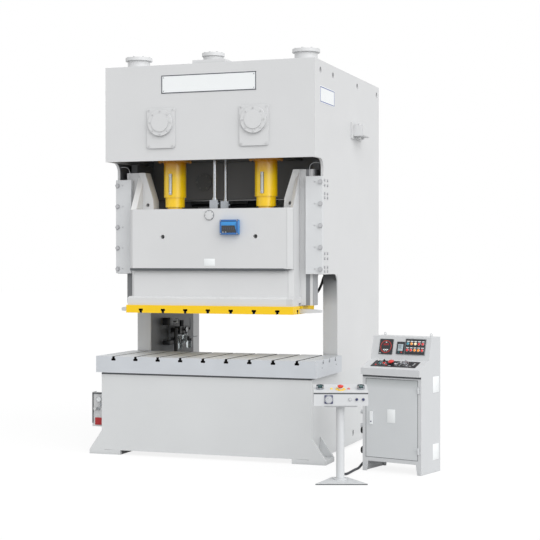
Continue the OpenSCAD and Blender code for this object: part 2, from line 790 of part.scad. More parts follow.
// The gusset between the slide's top and its rib stays clear of the plunger
module wing() {
    difference() {
        plate_y(wing_y, wing_t) polygon([[wing_in, slide_top], [slide_half, slide_top],
            [slide_half, rail_top], [wing_top, rail_top], [wing_in + 4, slide_top + wing_corner]]);
        bar_y(wing_hole_x, slide_top + wing_hole_z, wing_hole_r, wing_y - 1, wing_y + wing_t + 1);
    }
}
module slide() {
    placed() color("lightgray") difference() {
        union() {
            translate([0, 0, slide_body_z]) linear_extrude(slide_h)
                slide_plan(slide_front + step_depth);
            translate([0, 0, slide_bottom + step_z]) linear_extrude(slide_top - slide_bottom - step_z)
                slide_plan(slide_front);
            plate_x(-plinth_half, 2 * plinth_half) polygon([[slide_front, slide_body_z],
                [slide_back, slide_body_z], [slide_back, slide_body_z + plinth_h + flare_h],
                [slide_front + step_depth, slide_body_z + plinth_h + flare_h],
                [slide_front, slide_body_z + plinth_h]]);
            both_sides() {
                block(slide_half - 1, rail_out, rail_y0, recess_y + 40, rail_z0, rail_top);
                block(rail_out - 1, tongue_x1 - guide_gap, rail_y0, tongue_y1, rail_z0, rail_top);
                rib();
                wing();
            }
        }
        // The hollow inside, open to the rear between its ribs
        for (x = [[-slide_half + wall, -crank_x - 190], [-crank_x - 155, -140],
            [-105, 105], [140, crank_x + 155], [crank_x + 190, slide_half - wall]])
            difference() {
                block(x[0], x[1], slide_front + step_depth + wall, slide_back + 1,
                    slide_body_z + plinth_h + flare_h + wall + 90, slide_top - wall);
                for (sx = [-1, 1])
                    bar_z(sx * crank_x, crank_y, nut_r, slide_body_z, slide_top);
            }
        both_sides() {
            bar_z(crank_x, crank_y, screw_r + 6, slide_top - nut_drop, slide_top + 1);
            bar_z(crank_x, crank_y, screw_r + shaft_gap, slide_top - nut_drop - nut_h - 1,
                slide_top - nut_drop + 1);
            bar_z(crank_x, crank_y, screw_r + 10, slide_top - screw_len - 60,
                slide_top - nut_drop - nut_h);
            bar_y(crank_x, slide_top - front_hole_z, front_hole_r, slide_front - 1,
                slide_front + step_depth + wall + 1);
        }
        knock_slot();
    }
}
module slide_plate() {
    placed() color("gold") difference() {
        block(-slide_plate_w / 2, slide_plate_w / 2, plate_front, slide_back - 2,
            slide_bottom, slide_body_z);
        for (i = [-3:3])
            translate([i * slot_pitch, 0, slide_bottom]) mirror([0, 0, 1])
                t_slot_y(plate_front - 1, slide_back);
        both_sides() translate([slide_plate_w / 2, plate_slot_y, slide_bottom]) rotate([0, 0, 90])
            mirror([0, 0, 1]) t_slot_y(-1, plate_slot_len);
        knock_slot();
    }
}
// The slot in which the knock-out bar lies and lifts
module knock_slot() {
    block(-slide_plate_w / 2 - 1, slide_plate_w / 2 + 1, knock_y - knock_w / 2 - knock_gap,
        knock_y + knock_w / 2 + knock_gap, slide_bottom + knock_z0 - knock_gap / 2,
        slide_bottom + knock_z0 + knock_h + knock_lift + knock_gap);
}
// The counter of the height adjustment, and the round cover on the slide's front
module height_counter() {
    placed() {
        color("steelblue") union() {
            difference() {
                block(counter_x0, counter_x0 + counter_w, slide_front - 60, slide_front,
                    slide_top - counter_z - counter_h, slide_top - counter_z);
                block(counter_x0 + 30, counter_x0 + counter_w - 30, slide_front - 61, slide_front - 48,
                    slide_top - counter_z - 100, slide_top - counter_z - 40);
            }
            bar_y(counter_x0 + 40, slide_top - counter_z - 128, 9, slide_front - 68, slide_front - 60);
            bar_y(counter_x0 + 70, slide_top - counter_z - 128, 9, slide_front - 68, slide_front - 60);
        }
        color("lightgray") union() {
            bar_y(cover_x, slide_top - cover_hole_z, 52, slide_front - 10, slide_front);
            for (a = [0:7])
                facing_front(cover_x + 42 * cos(a * 45), slide_front - 10,
                    slide_top - cover_hole_z + 42 * sin(a * 45)) socket_head(7);
        }
    }
}
module knockout_bar() {
    placed() color("silver")
        plate_y(knock_y - knock_w / 2, knock_w) translate([0, slide_bottom + knock_z0])
            polygon([[-knock_left, 6], [-knock_left + 20, 0], [knock_right - knock_taper, 0],
                [knock_right, 8], [knock_right, knock_h - 10], [knock_right - knock_taper, knock_h],
                [-knock_left + 20, knock_h], [-knock_left, knock_h - 6]]);
}

// --- crankshafts and gears ---------------------------------------------------
crank_y0 = crown_front + 20;
crank_y1 = housing_y1 + housing_t + 30;
pin_y0 = crank_y - pin_len / 2;
pin_y1 = crank_y + pin_len / 2;
module crankshaft() {
    union() {
        bar_y(crank_x, crank_z, journal_r, crank_y0, pin_y0 - web_len + eps);
        bar_y(crank_x, crank_z - web_shift, web_r, pin_y0 - web_len, pin_y0);
        bar_y(crank_x, crank_z - crank_r, pin_r, pin_y0 - eps, pin_y1 + eps);
        bar_y(crank_x, crank_z - web_shift, web_r, pin_y1, pin_y1 + web_len);
        bar_y(crank_x, crank_z, journal_r, pin_y1 + web_len - eps, crank_y1);
    }
}
module crankshaft_left() { placed() color("slategray") on_side(-1) crankshaft(); }
module crankshaft_right() { placed() color("slategray") on_side(1) crankshaft(); }
// Outline of a gear: straight-flanked teeth with backlash, first tooth at angle phase
backlash = 2.4;
pinion_backlash = 5;
function tooth(n, m, i, phase, play) =
    let (r = m * n / 2, step = 360 / n, a = phase + i * step,
         root = r - 1.15 * m, tip = r + 0.9 * m,
         half = (PI * m / 2 - play) / 2,
         w_root = half + 0.3 * m, w_tip = half - 0.38 * m)
    [for (p = [[root, -w_root], [tip, -w_tip], [tip, w_tip], [root, w_root]])
        [p[0] * cos(a + p[1] / p[0] * 180 / PI), p[0] * sin(a + p[1] / p[0] * 180 / PI)]];
module gear_outline(n, m, phase, play) {
    polygon([for (i = [0:n - 1], p = tooth(n, m, i, phase, play)) p]);
}
hub_r = 170;
rim_t = 60;
gear_holes = 6;
module main_gear(x, phase) {
    translate([x, gear_y0 + gear_w, crank_z]) rotate([90, 0, 0]) difference() {
        linear_extrude(gear_w) gear_outline(gear_teeth, gear_module, phase, backlash);
        translate([0, 0, -1]) cylinder(r = journal_r + seat_gap, h = gear_w + 2);
        for (a = [0:gear_holes - 1]) rotate(a * 360 / gear_holes)
            translate([(hub_r + gear_r - rim_t) / 2, 0, -1]) cylinder(r = 95, h = gear_w + 2);
    }
}
// The two gears mesh at the middle: a tooth of the left one enters a gap of the right one
module main_gear_left() { placed() color("darkslategray") main_gear(-crank_x, 0); }
module main_gear_right() { placed() color("darkslategray") main_gear(crank_x, 180 + 180 / gear_teeth); }
// The pinion's gap faces the left gear's tooth along the line between their centres
mesh_angle = atan2(pinion_z - crank_z, pinion_x + crank_x);
pinion_phase = mesh_angle + 180 + 180 / pinion_teeth
    + (mesh_angle - round(mesh_angle * gear_teeth / 360) * 360 / gear_teeth)
        * gear_teeth / pinion_teeth;
module pinion_shaft() {
    placed() color("slategray") union() {
        bar_y(pinion_x, pinion_z, pinion_journal_r, housing_y0 + 2, flywheel_end + 10);
        translate([pinion_x, gear_y0 + gear_w, pinion_z]) rotate([90, 0, 0]) linear_extrude(gear_w)
            gear_outline(pinion_teeth, gear_module, pinion_phase, pinion_backlash);
    }
}
module connecting_rod() {
    difference() {
        union() {
            bar_y(crank_x, crank_z - crank_r, rod_ring_r, pin_y0 + 2, pin_y1 - 2);
            block(crank_x - 60, crank_x + 60, pin_y0 + 15, pin_y1 - 15, rod_end_z,
                crank_z - crank_r - pin_r - 5);
        }
        bar_y(crank_x, crank_z - crank_r, pin_r + shaft_gap, pin_y0 - 1, pin_y1 + 1);
    }
}
module connecting_rod_left() { placed() color("gray") on_side(-1) connecting_rod(); }
module connecting_rod_right() { placed() color("gray") on_side(1) connecting_rod(); }

// --- flywheel, motor and belts ----------------------------------------------
flywheel_hub_r = 110;
flywheel_rim = 90;
flywheel_dish = 50;
flywheel_end = flywheel_y + flywheel_w + 60;
module flywheel() {
    placed() color("dimgray") difference() {
        union() {
            bar_y(pinion_x, pinion_z, flywheel_r, flywheel_y, flywheel_y + flywheel_w);
            bar_y(pinion_x, pinion_z, flywheel_hub_r, flywheel_y - 40, flywheel_end);
        }
        for (y = [flywheel_y - 1, flywheel_y + flywheel_w - flywheel_dish]) difference() {
            bar_y(pinion_x, pinion_z, flywheel_r - flywheel_rim, y, y + flywheel_dish + 1);
            bar_y(pinion_x, pinion_z, flywheel_hub_r, y - 1, y + flywheel_dish + 2);
        }
        bar_y(pinion_x, pinion_z, pinion_journal_r + shaft_gap, flywheel_y - 41, flywheel_end + 1);
    }
}
guard_t = 8;
module flywheel_guard() {
    placed() color("lightgray") difference() {
        block(-half_w + plate_t, half_w - plate_t, frame_back - guard_t, frame_back,
            pinion_z - flywheel_r - 60, crown_bottom);
        for (i = [-6:6])
            block(pinion_x + i * 40 - 8, pinion_x + i * 40 + 8, frame_back - guard_t - 1,
                frame_back + 1, pinion_z - 150, pinion_z + 150);
    }
}
motor_r = 170;
motor_len = 420;
motor_shaft_r = 24;
motor_plate_t = 25;
belt_y0 = flywheel_y + flywheel_w / 2 - belt_w / 2;
module motor() {
    placed() color("steelblue") union() {
        bar_y(motor_x, motor_z, motor_r, belt_y0 - 30 - motor_len, belt_y0 - 30);
        for (a = [0:23]) translate([motor_x, belt_y0 - 60, motor_z]) rotate([90, 0, 0])
            rotate(a * 15) translate([motor_r - 2, -2, 0]) cube([16, 4, motor_len - 90]);
        block(motor_x - 150, motor_x + 150, belt_y0 - motor_len, belt_y0 - 60,
            motor_z - motor_r - 40, motor_z - motor_r + 30);
        block(motor_x - 200, column_in, belt_y0 - motor_len - 10, belt_y0 - 50,
            motor_z - motor_r - 40 - motor_plate_t, motor_z - motor_r - 40);
    }
}
module motor_pulley() {
    placed() color("dimgray") union() {
        bar_y(motor_x, motor_z, pulley_r - belt_t, belt_y0 - 4, belt_y0 + belt_w + 4);
        bar_y(motor_x, motor_z, pulley_r + 6, belt_y0 - 14, belt_y0 - 4);
        bar_y(motor_x, motor_z, pulley_r + 6, belt_y0 + belt_w + 4, belt_y0 + belt_w + 14);
    }
}
// The belt band follows the two outer tangents of the wheels
belt_run = sqrt(pow(motor_x - pinion_x, 2) + pow(motor_z - pinion_z, 2));
belt_dir = atan2(motor_z - pinion_z, motor_x - pinion_x);
belt_lean = acos((flywheel_r - pulley_r + belt_t) / belt_run);
function arc_points(cx, r, a0, a1, n) =
    [for (i = [0:n]) let (a = a0 + (a1 - a0) * i / n) [cx + r * cos(a), r * sin(a)]];
module belt_outline(r0, r1) {
    polygon(concat(arc_points(0, r0, belt_lean, 360 - belt_lean, 72),
        arc_points(belt_run, r1, -belt_lean, belt_lean, 24)));
}
belt_gap = 0.4;
module drive_belts() {
    placed() color("black") translate([pinion_x, belt_y0 + belt_w, pinion_z]) rotate([90, 0, 0])
        rotate(belt_dir) linear_extrude(belt_w) difference() {
            belt_outline(flywheel_r + belt_gap + belt_t, pulley_r - belt_t + belt_gap + belt_t);
            belt_outline(flywheel_r + belt_gap, pulley_r - belt_t + belt_gap);
        }
}

// --- air supply --------------------------------------------------------------
air_y = 1560;
air_z = 1230;
air_x = -column_in + 90;
lever_y = air_y + 190;
module air_unit() {
    placed() color("dimgray") union() {
        block(-column_in, -column_in + 12, air_y - 160, air_y + 200, air_z - 110, air_z + 90);
        block(-column_in + 12, air_x + 20, air_y - 110, air_y - 80, air_z - 30, air_z + 20);
        bar_y(air_x, air_z, 17, air_y - 150, air_y + 190);
        for (y = [air_y - 70, air_y + 20, air_y + 110]) {
            block(air_x - 34, air_x + 34, y - 34, y + 34, air_z - 36, air_z + 36);
            bar_z(air_x, y, 30, air_z - 62, air_z - 36);
        }
        bar_z(air_x, air_y + 20, 24, air_z + 36, air_z + 62);
        bar_x(air_y + 20, air_z, 8, air_x + 34, air_x + 46);
        bar_x(air_y + 20, air_z, 27, air_x + 46, air_x + 62);
        block(air_x - 24, air_x + 20, lever_y - 24, lever_y + 24, air_z - 24, air_z + 24);
        bar_z(air_x, air_y - 150, 20, base_top, air_z + 20);
    }
}
module air_bowls() {
    placed() color("lightblue") for (y = [air_y - 70, air_y + 110]) union() {
        bar_z(air_x, y, 27, air_z - 150, air_z - 62);
        bar_z(air_x, y, 8, air_z - 164, air_z - 150);
    }
}
module regulator_knob() {
    placed() color("black") bar_z(air_x, air_y + 20, 26, air_z + 62 + guide_gap, air_z + 104);
}
module valve_lever() {
    placed() color("firebrick") union() {
        bar_x(lever_y, air_z, 12, air_x + 20 + guide_gap, air_x + 34);
        translate([air_x + 34, lever_y - 9, air_z - 12]) cube([6, 18, 132]);
    }
}
panel_y = 200;
panel_z0 = 262;
panel_h = 364;
module air_panel() {
    placed() color("gainsboro") union() {
        block(-half_w - 20, -half_w, panel_y + 4, panel_y + 120, panel_z0 + 40, panel_z0 + panel_h - 40);
        block(-half_w - air_reach, -half_w, panel_y, panel_y + 4, panel_z0, panel_z0 + panel_h);
        block(-half_w - air_reach, -half_w - air_reach + 4, panel_y + 4, panel_y + 90, panel_z0,
            panel_z0 + panel_h);
        bar_y(-half_w - 110, panel_z0 + 290, 28, panel_y - 22, panel_y);
        bar_y(-half_w - 60, panel_z0 + 190, 15, panel_y - 40, panel_y);
        bar_y(-half_w - 150, panel_z0 + 190, 15, panel_y - 40, panel_y);
        block(-half_w - 160, -half_w - 50, panel_y - 5, panel_y, panel_z0 + 20, panel_z0 + 110);
    }
}

// --- control desk ------------------------------------------------------------
module at_desk() {
    placed() translate([desk_x, desk_y, 0]) rotate(desk_turn) children();
}
desk_front = -desk_d / 2;
lip_front = desk_front - lip_out;
slope_y = lip_front + desk_slope_y;
slope_z = lip_z + desk_slope_z;
body_top = lip_z - lip_h;
module desk_profile(shrink) {
    polygon([[desk_front + shrink, 0], [desk_d / 2 - shrink, 0], [desk_d / 2 - shrink, desk_h - shrink],
        [slope_y + panel_lean + shrink, desk_h - shrink], [slope_y + shrink, slope_z - shrink],
        [lip_front + shrink, lip_z - shrink], [lip_front + shrink, body_top + shrink],
        [desk_front + shrink, body_top + shrink]]);
}
toe_h = 98;
leg_foot = 42;
leg_top = 58;
module desk_cabinet() {
    at_desk() color("gainsboro") union() {
        difference() {
            plate_x(-desk_w / 2, desk_w) desk_profile(0);
            plate_x(-desk_w / 2 + desk_wall, desk_w - 2 * desk_wall) intersection() {
                desk_profile(desk_wall);
                translate([-500, toe_h + desk_wall]) square([1000, 2000]);
            }
            block(-desk_w / 2 + 14, desk_w / 2 - 14, desk_front + 14, desk_d / 2 - 14, -1, toe_h);
            plate_y(desk_front - 1, desk_d + 2)
                polygon([[leg_foot - desk_w / 2, -1], [desk_w / 2 - leg_foot, -1],
                    [desk_w / 2 - leg_top, toe_h], [leg_top - desk_w / 2, toe_h]]);
            block(-door_w / 2, door_w / 2, desk_front - 1, desk_front + desk_wall + 1,
                door_z0, door_z0 + door_h);
        }
        for (z = hinge_z) {
            bar_z(hinge_x, hinge_y, hinge_r, z - hinge_h, z);
            bar_z(hinge_x, hinge_y, hinge_pin_r, z - eps, z + hinge_h - 2);
            block(hinge_x, hinge_x + 26, desk_front - 4, desk_front, z - hinge_h, z);
        }
        for (x = [-desk_w / 2 + 66, desk_w / 2 - 66]) translate([x, desk_d / 2 - 60, desk_h])
            eyebolt();
        for (z = [430, 560]) translate([-desk_w / 2, desk_front + 32, z]) rotate([0, -90, 0]) union() {
            cylinder(r = 24, h = 12);
            cylinder(r = 19, h = 34);
        }
        block(desk_w / 2, desk_w / 2 + 2, 39, 163, 760, 912);
    }
    placed() color("gainsboro") cord_gland(len(cord_path) - 1, len(cord_path) - 2);
}
hinge_x = door_w / 2 + 9;
hinge_y = desk_front - 9;
hinge_pin_r = 4;
hinge_h = 30;
hinge_z = [door_z0 + 90, door_z0 + door_h - 90];
module eyebolt() {
    cylinder(r = 11, h = 6);
    translate([0, 0, 18]) rotate([90, 0, 0]) rotate_extrude() translate([11, 0]) circle(3.5);
}
// Places children on the sloping desk: x to the right, y up the slope, z out of the desk
module at_slope() {
    translate([0, lip_front, lip_z]) rotate([desk_angle, 0, 0]) children();
}
module on_slope() { at_desk() at_slope() children(); }
panel_angle = atan2(desk_h - slope_z, panel_lean);
module on_back_panel() {
    at_desk() translate([0, slope_y, slope_z]) rotate([panel_angle, 0, 0]) children();
}
slope_len = sqrt(pow(desk_slope_y, 2) + pow(desk_slope_z, 2));
module plate_at(x, y, w, h, t) {
    translate([x, y, 0]) linear_extrude(t) round_rect(w, h, 5);
}
stem_gap = 0.4;
small_r = 11;
small_travel = 4;
small_socket_h = 8;
stop_stem_r = 15;
stop_travel = 6;
stop_socket_h = 12;
lamp_x0 = 74;
lamp_pitch = 40;
lamp_y0 = 98;
lamp_row = 62;
ring_x = -160;
face_t = 3;
button_x = [-150, -105];
button_y = 92;
stop_x = -35;
stop_y = 108;
selector_x = -125;
selector_y = 138;
rotary_x = 120;
rotary_y = 104;
module desk_panels() {
    on_slope() color("black") union() {
        plate_at(6, 108, 482, 128, face_t);
        for (x = button_x) translate([x, button_y, face_t - eps]) socket(14, small_r, small_socket_h);
        translate([selector_x, selector_y, face_t]) cylinder(r = 14, h = 6);
        for (x = [20, 60], y = [88, 128]) translate([x, y, face_t]) cylinder(r = 12, h = 12);
        for (x = [-190, -60]) translate([x, 146, face_t]) cylinder(r = 10, h = 12);
        translate([stop_x, stop_y, face_t - eps]) socket(21, stop_stem_r, stop_socket_h);
        translate([rotary_x, rotary_y, face_t]) cylinder(r = 30, h = 8);
    }
    on_back_panel() color("black") {
        plate_at(ring_x, 124, 146, 150, 6);
        plate_at(0, 116, 82, 120, 8);
        plate_at(lamp_x0 + 2 * lamp_pitch, lamp_y0 + lamp_row / 2 + 2, 222, 160, face_t);
    }
}
module desk_lamps() {
    on_back_panel() color("red") for (i = [0:4], j = [0:1])
        translate([lamp_x0 + i * lamp_pitch, lamp_y0 + j * lamp_row, face_t]) union() {
            cylinder(r = 12, h = 6);
            translate([0, 0, 6]) intersection() {
                translate([0, 0, -8]) sphere(14);
                cylinder(r = 12, h = 12);
            }
        }
}
// A ring in which a button's stem slides
module socket(r_out, r_stem, h) {
    difference() {
        cylinder(r = r_out, h = h);
        translate([0, 0, -1]) cylinder(r = r_stem + stem_gap, h = h + 2);
    }
}
// A mushroom head over its socket, which stands on z = 0 and is h high
module mushroom(r, h) {
    union() {
        translate([0, 0, 1 + stop_travel]) cylinder(r = stop_stem_r, h = h);
        translate([0, 0, h + stop_travel]) cylinder(r1 = r * 0.8, r2 = r, h = 8);
        translate([0, 0, h + stop_travel + 8]) intersection() {
            cylinder(r = r, h = 30);
            translate([0, 0, -r * 1.2]) sphere(r * 1.62);
        }
    }
}
module start_button() {
    on_slope() color("teal") translate([button_x[0], button_y, 0]) small_button();
}
module stop_button() {
    on_slope() color("red") translate([button_x[1], button_y, 0]) small_button();
}
// A cap on a stem that slides in the ring of the panel
module small_button() {
    translate([0, 0, face_t]) union() {
        translate([0, 0, 1 + small_travel]) cylinder(r = small_r, h = small_socket_h);
        translate([0, 0, small_socket_h + small_travel]) cylinder(r = small_r + 2, h = 6);
    }
}
module desk_stop() {
    on_slope() color("red") translate([stop_x, stop_y, face_t]) mushroom(30, stop_socket_h);
}
module mode_selector() {
    on_slope() color("black") translate([selector_x, selector_y, face_t + 6 + guide_gap]) union() {
        cylinder(r = 12, h = 8);
        translate([-4, -13, 8]) cube([8, 26, 12]);
    }
}
module rotary_switch() {
    on_slope() color("silver") translate([rotary_x, rotary_y, face_t + 8 + guide_gap]) union() {
        cylinder(r = 26, h = 16);
        translate([-6, -22, 16]) cube([12, 44, 12]);
    }
}
module desk_door() {
    at_desk() color("gainsboro") difference() {
        union() {
            block(-door_w / 2 + door_gap, door_w / 2 - door_gap, desk_front, desk_front + 2,
                door_z0 + door_gap, door_z0 + door_h - door_gap);
            for (z = hinge_z) {
                bar_z(hinge_x, hinge_y, hinge_r, z + guide_gap, z + hinge_h);
                block(door_w / 2 - 40, hinge_x, desk_front - 4, desk_front - guide_gap,
                    z + guide_gap, z + hinge_h);
                block(door_w / 2 - 40, door_w / 2 - door_gap, desk_front - 1, desk_front + eps,
                    z + guide_gap, z + hinge_h);
            }
        }
        for (z = hinge_z)
            bar_z(hinge_x, hinge_y, hinge_pin_r + shaft_gap, z - 1, z + hinge_h + 1);
        bar_y(handle_x, handle_z, handle_r + shaft_gap, desk_front - 1, desk_front + 3);
    }
}
handle_x = -door_w / 2 + 62;
handle_z = 540;
handle_r = 9;
module door_handle() {
    at_desk() color("silver") union() {
        bar_y(handle_x, handle_z, handle_r, desk_front - 12, desk_front + 16);
        block(handle_x - 14, handle_x + 14, desk_front - 14, desk_front - 1, handle_z - 88, handle_z + 36);
        block(handle_x - 40, handle_x + 12, desk_front + 6, desk_front + 12, handle_z - 9, handle_z + 9);
    }
}

// --- two-hand stand ------------------------------------------------------------
module at_stand() {
    placed() translate([stand_x, stand_y, 0]) rotate(stand_turn) children();
}
stand_front = -stand_box_d / 2;
stand_z0 = stand_h - stand_box_h;
module on_stand_top() {
    at_stand() translate([0, stand_front, stand_h]) rotate([stand_angle, 0, 0]) children();
}
module on_stand_front() {
    at_stand() translate([0, stand_front, stand_z0]) rotate([90, 0, 0]) children();
}
palm_x = 187;
palm_y = 110;
palm_floor_t = 4;
palm_socket_h = 10;
palm_stem_r = 12;
palm_travel = 5;
e_disc_r = 45;
e_disc_t = 5;
small_x = [83, 143, 203];
small_z = 58;
cam_x = -111;
stand_wall = 4;
module stand_box_outline(s) {
    polygon([[stand_front + s, stand_z0 + s], [-stand_front - s, stand_z0 + s],
        [-stand_front - s, stand_h + stand_box_rise - s], [stand_front + s, stand_h - s]]);
}
module stand() {
    at_stand() color("gainsboro") union() {
        linear_extrude(stand_plate_t)
            polygon([[-stand_base / 2, -stand_base / 2], [stand_base / 2, -stand_base / 2],
                [stand_base * 0.15, stand_base * 0.31], [-stand_base * 0.15, stand_base * 0.31]]);
        cylinder(r = stand_r, h = stand_z0 - 14);
        cylinder(r = stand_r + 22, h = stand_plate_t + 14);
        block(-150, 150, -100, 100, stand_z0 - 14, stand_z0);
        difference() {
            plate_x(-stand_w / 2, stand_w) stand_box_outline(0);
            plate_x(-stand_w / 2 + stand_wall, stand_w - 2 * stand_wall) stand_box_outline(stand_wall);
            for (x = small_x) translate([x, stand_front, stand_z0 + small_z]) rotate([90, 0, 0])
                translate([0, 0, -10]) cylinder(r = small_r + stem_gap, h = 20);
        }
    }
    placed() color("gainsboro") cord_gland(0, 1);
    on_stand_top() color("silver") {
        for (x = [-palm_x, palm_x]) translate([x, palm_y, 0]) difference() {
            cylinder(r = 35, h = 34);
            translate([0, 0, palm_floor_t]) difference() {
                cylinder(r = 31, h = 40);
                translate([0, 0, -1]) cylinder(r = 17, h = palm_socket_h + 1);
            }
            translate([0, 0, palm_floor_t]) cylinder(r = palm_stem_r + stem_gap, h = 40);
            translate([-20, -50, palm_floor_t + palm_socket_h]) cube([40, 50, 40]);
        }
        translate([0, palm_y - 15, 0]) cylinder(r = e_disc_r, h = e_disc_t);
        translate([0, palm_y - 15, e_disc_t - eps]) socket(20, stop_stem_r, stop_socket_h);
        for (x = [-81, 76]) translate([x, palm_y - 5, 0]) cylinder(r = 12, h = 9);
    }
    on_stand_front() color("midnightblue") {
        translate([cam_x, small_z, 0]) linear_extrude(6) square(76, center = true);
        for (x = small_x) translate([x, small_z, 0]) difference() {
            cylinder(r = 15, h = 5);
            translate([0, 0, -1]) cylinder(r = small_r + stem_gap, h = 8);
        }
    }
}
module palm_button() {
    union() {
        translate([0, 0, palm_floor_t + 1 + palm_travel]) cylinder(r = palm_stem_r, h = palm_socket_h);
        translate([0, 0, palm_floor_t + palm_socket_h + palm_travel]) cylinder(r = 24, h = 10);
    }
}
module palm_button_left() {
    on_stand_top() color("darkslategray") translate([-palm_x, palm_y, 0]) palm_button();
}
module palm_button_right() {
    on_stand_top() color("darkslategray") translate([palm_x, palm_y, 0]) palm_button();
}
module stand_stop() {
    on_stand_top() color("red") translate([0, palm_y - 15, e_disc_t]) mushroom(29, stop_socket_h);
}
module cam_switch() {
    on_stand_front() color("silver") translate([cam_x, small_z, 6 + guide_gap]) union() {
        cylinder(r = 30, h = 8);
        translate([0, 0, 8]) cylinder(r = 17, h = 20);
    }
}
module front_button(i) {
    translate([small_x[i], small_z, -8]) cylinder(r = small_r, h = 22);
}
module run_button() { on_stand_front() color("navy") front_button(1); }
module inch_button() { on_stand_front() color("navy") front_button(2); }

// --- cord --------------------------------------------------------------------
cord_sides = 10;
function unit(v) = v / norm(v);
function cord_dir(i) = let (n = len(cord_path) - 1)
    unit(cord_path[min(n, i + 1)] - cord_path[max(0, i - 1)]);
function ring(i) = let (t = cord_dir(i), side = unit(cross(t, [0, 0, 1])), up = cross(side, t))
    [for (k = [0:cord_sides - 1]) let (a = k * 360 / cord_sides)
        cord_path[i] + cord_r * (cos(a) * side + sin(a) * up)];
// The gland at a cord's end, from point i away from its neighbour j
module cord_gland(i, j) {
    v = unit(cord_path[i] - cord_path[j]);
    translate(cord_path[i]) rotate([0, acos(v[2]), atan2(v[1], v[0])])
        cylinder(r = gland_r, h = gland_len);
}
module stand_cord() {
    n = len(cord_path);
    points = [for (i = [0:n - 1], p = ring(i)) p];
    faces = concat(
        [for (i = [0:n - 2], k = [0:cord_sides - 1]) let (j = (k + 1) % cord_sides)
            [i * cord_sides + k, i * cord_sides + j, (i + 1) * cord_sides + j, (i + 1) * cord_sides + k]],
        [[for (k = [cord_sides - 1:-1:0]) k]],
        [[for (k = [0:cord_sides - 1]) (n - 1) * cord_sides + k]]);
    placed() color("dimgray") polyhedron(points, faces);
}

base();
column_left();
column_right();
crown();
gear_housing();
bolster();
gib_left();
gib_right();
guide_liners();
frame_bolts();
bearing_covers();
top_caps();
name_plates();
encoder_box();
plunger_guide_left();
plunger_guide_right();
oil_gauges();
balancer_cylinders();
flywheel_guard();
motor();
drive_belts();
air_unit();
air_bowls();
air_panel();
desk_cabinet();
desk_panels();
desk_lamps();
stand();
stand_cord();
plungers();
slide();
slide_plate();
height_counter();
balancer_rods();
knockout_bar();
crankshaft_left();
crankshaft_right();
main_gear_left();
main_gear_right();
connecting_rod_left();
connecting_rod_right();
pinion_shaft();
flywheel();
motor_pulley();
desk_door();
door_handle();
desk_stop();
start_button();
stop_button();
mode_selector();
rotary_switch();
palm_button_left();
palm_button_right();
stand_stop();
cam_switch();
run_button();
inch_button();
valve_lever();
regulator_knob();
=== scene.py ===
"""A two-point mechanical stamping press with its two-hand stand and control desk, dressed around its fixed frame."""

from __future__ import annotations

import logging
import math
from dataclasses import dataclass, field
from enum import Enum
from functools import partial
from itertools import product
from typing import Iterable, Sequence

import bmesh
import bpy
from mathutils import Matrix, Vector


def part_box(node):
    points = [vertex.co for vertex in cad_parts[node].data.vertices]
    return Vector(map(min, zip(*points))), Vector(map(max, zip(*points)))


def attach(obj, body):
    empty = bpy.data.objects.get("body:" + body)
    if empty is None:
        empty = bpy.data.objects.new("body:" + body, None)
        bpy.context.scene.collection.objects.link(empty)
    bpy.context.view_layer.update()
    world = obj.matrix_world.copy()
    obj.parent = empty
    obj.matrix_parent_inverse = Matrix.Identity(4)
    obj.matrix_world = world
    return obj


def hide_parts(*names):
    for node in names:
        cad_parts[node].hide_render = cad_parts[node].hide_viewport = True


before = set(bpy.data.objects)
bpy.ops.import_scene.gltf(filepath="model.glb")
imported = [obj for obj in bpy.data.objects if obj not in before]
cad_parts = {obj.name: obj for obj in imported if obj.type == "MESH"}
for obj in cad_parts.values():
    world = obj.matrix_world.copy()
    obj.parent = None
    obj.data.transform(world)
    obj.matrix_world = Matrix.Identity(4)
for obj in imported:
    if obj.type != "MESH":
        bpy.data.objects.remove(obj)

LOG = logging.getLogger("stamping_press")
MM = 0.001
HERE = Matrix.Identity(4)
Colour = tuple[float, float, float]
Point = tuple[float, float, float]
Pair = tuple[float, float]
Socket = bpy.types.NodeSocket


def turn(axis: str, degrees: float) -> Matrix:
    """A turn about one axis."""
    return Matrix.Rotation(math.radians(degrees), 4, axis)


def shift(x: float, y: float, z: float) -> Matrix:
    """A move without a turn."""
    return Matrix.Translation((x, y, z))


FORWARD = turn("X", 90)


def linear(colour: Colour) -> tuple[float, float, float, float]:
    """The shader's value of a colour that is written as it is seen.

    Args:
        colour: Red, green and blue from 0 to 255.

    Returns:
        The same colour in linear light, with full alpha.
    """
    parts = [c / 255 for c in colour]
    light = [c / 12.92 if c <= 0.04045 else ((c + 0.055) / 1.055) ** 2.4 for c in parts]
    return (*light, 1.0)


def scaled(colour: Sequence[float], factor: float) -> tuple[float, ...]:
    """A linear colour made lighter or darker."""
    return (*(min(1.0, c * factor) for c in colour[:3]), 1.0)


# --- finishes -------------------------------------------------------------------


class Grain(Enum):
    """How a surface was made, which sets its fine relief."""

    SPRAYED = "sprayed"
    MOULDED = "moulded"
    GROUND = "ground"
    CAST = "cast"
    RUBBED = "rubbed"


@dataclass(frozen=True)
class ShadeZone:
    """A box of the press, in millimetres, inside which a surface has another, darker tone: a painted shade.

    The tone changes over the soft distance at the box's sides, and over the rise, where one is given, at its ends.
    """

    low: Point
    high: Point
    tone: Colour
    soft: float = 6.0
    rise: float | None = None

    @property
    def sharpness(self) -> Point:
        """How fast the tone changes along each axis, per metre."""
        return tuple(1.0 / (distance * MM) for distance in (self.soft, self.soft, self.rise or self.soft))


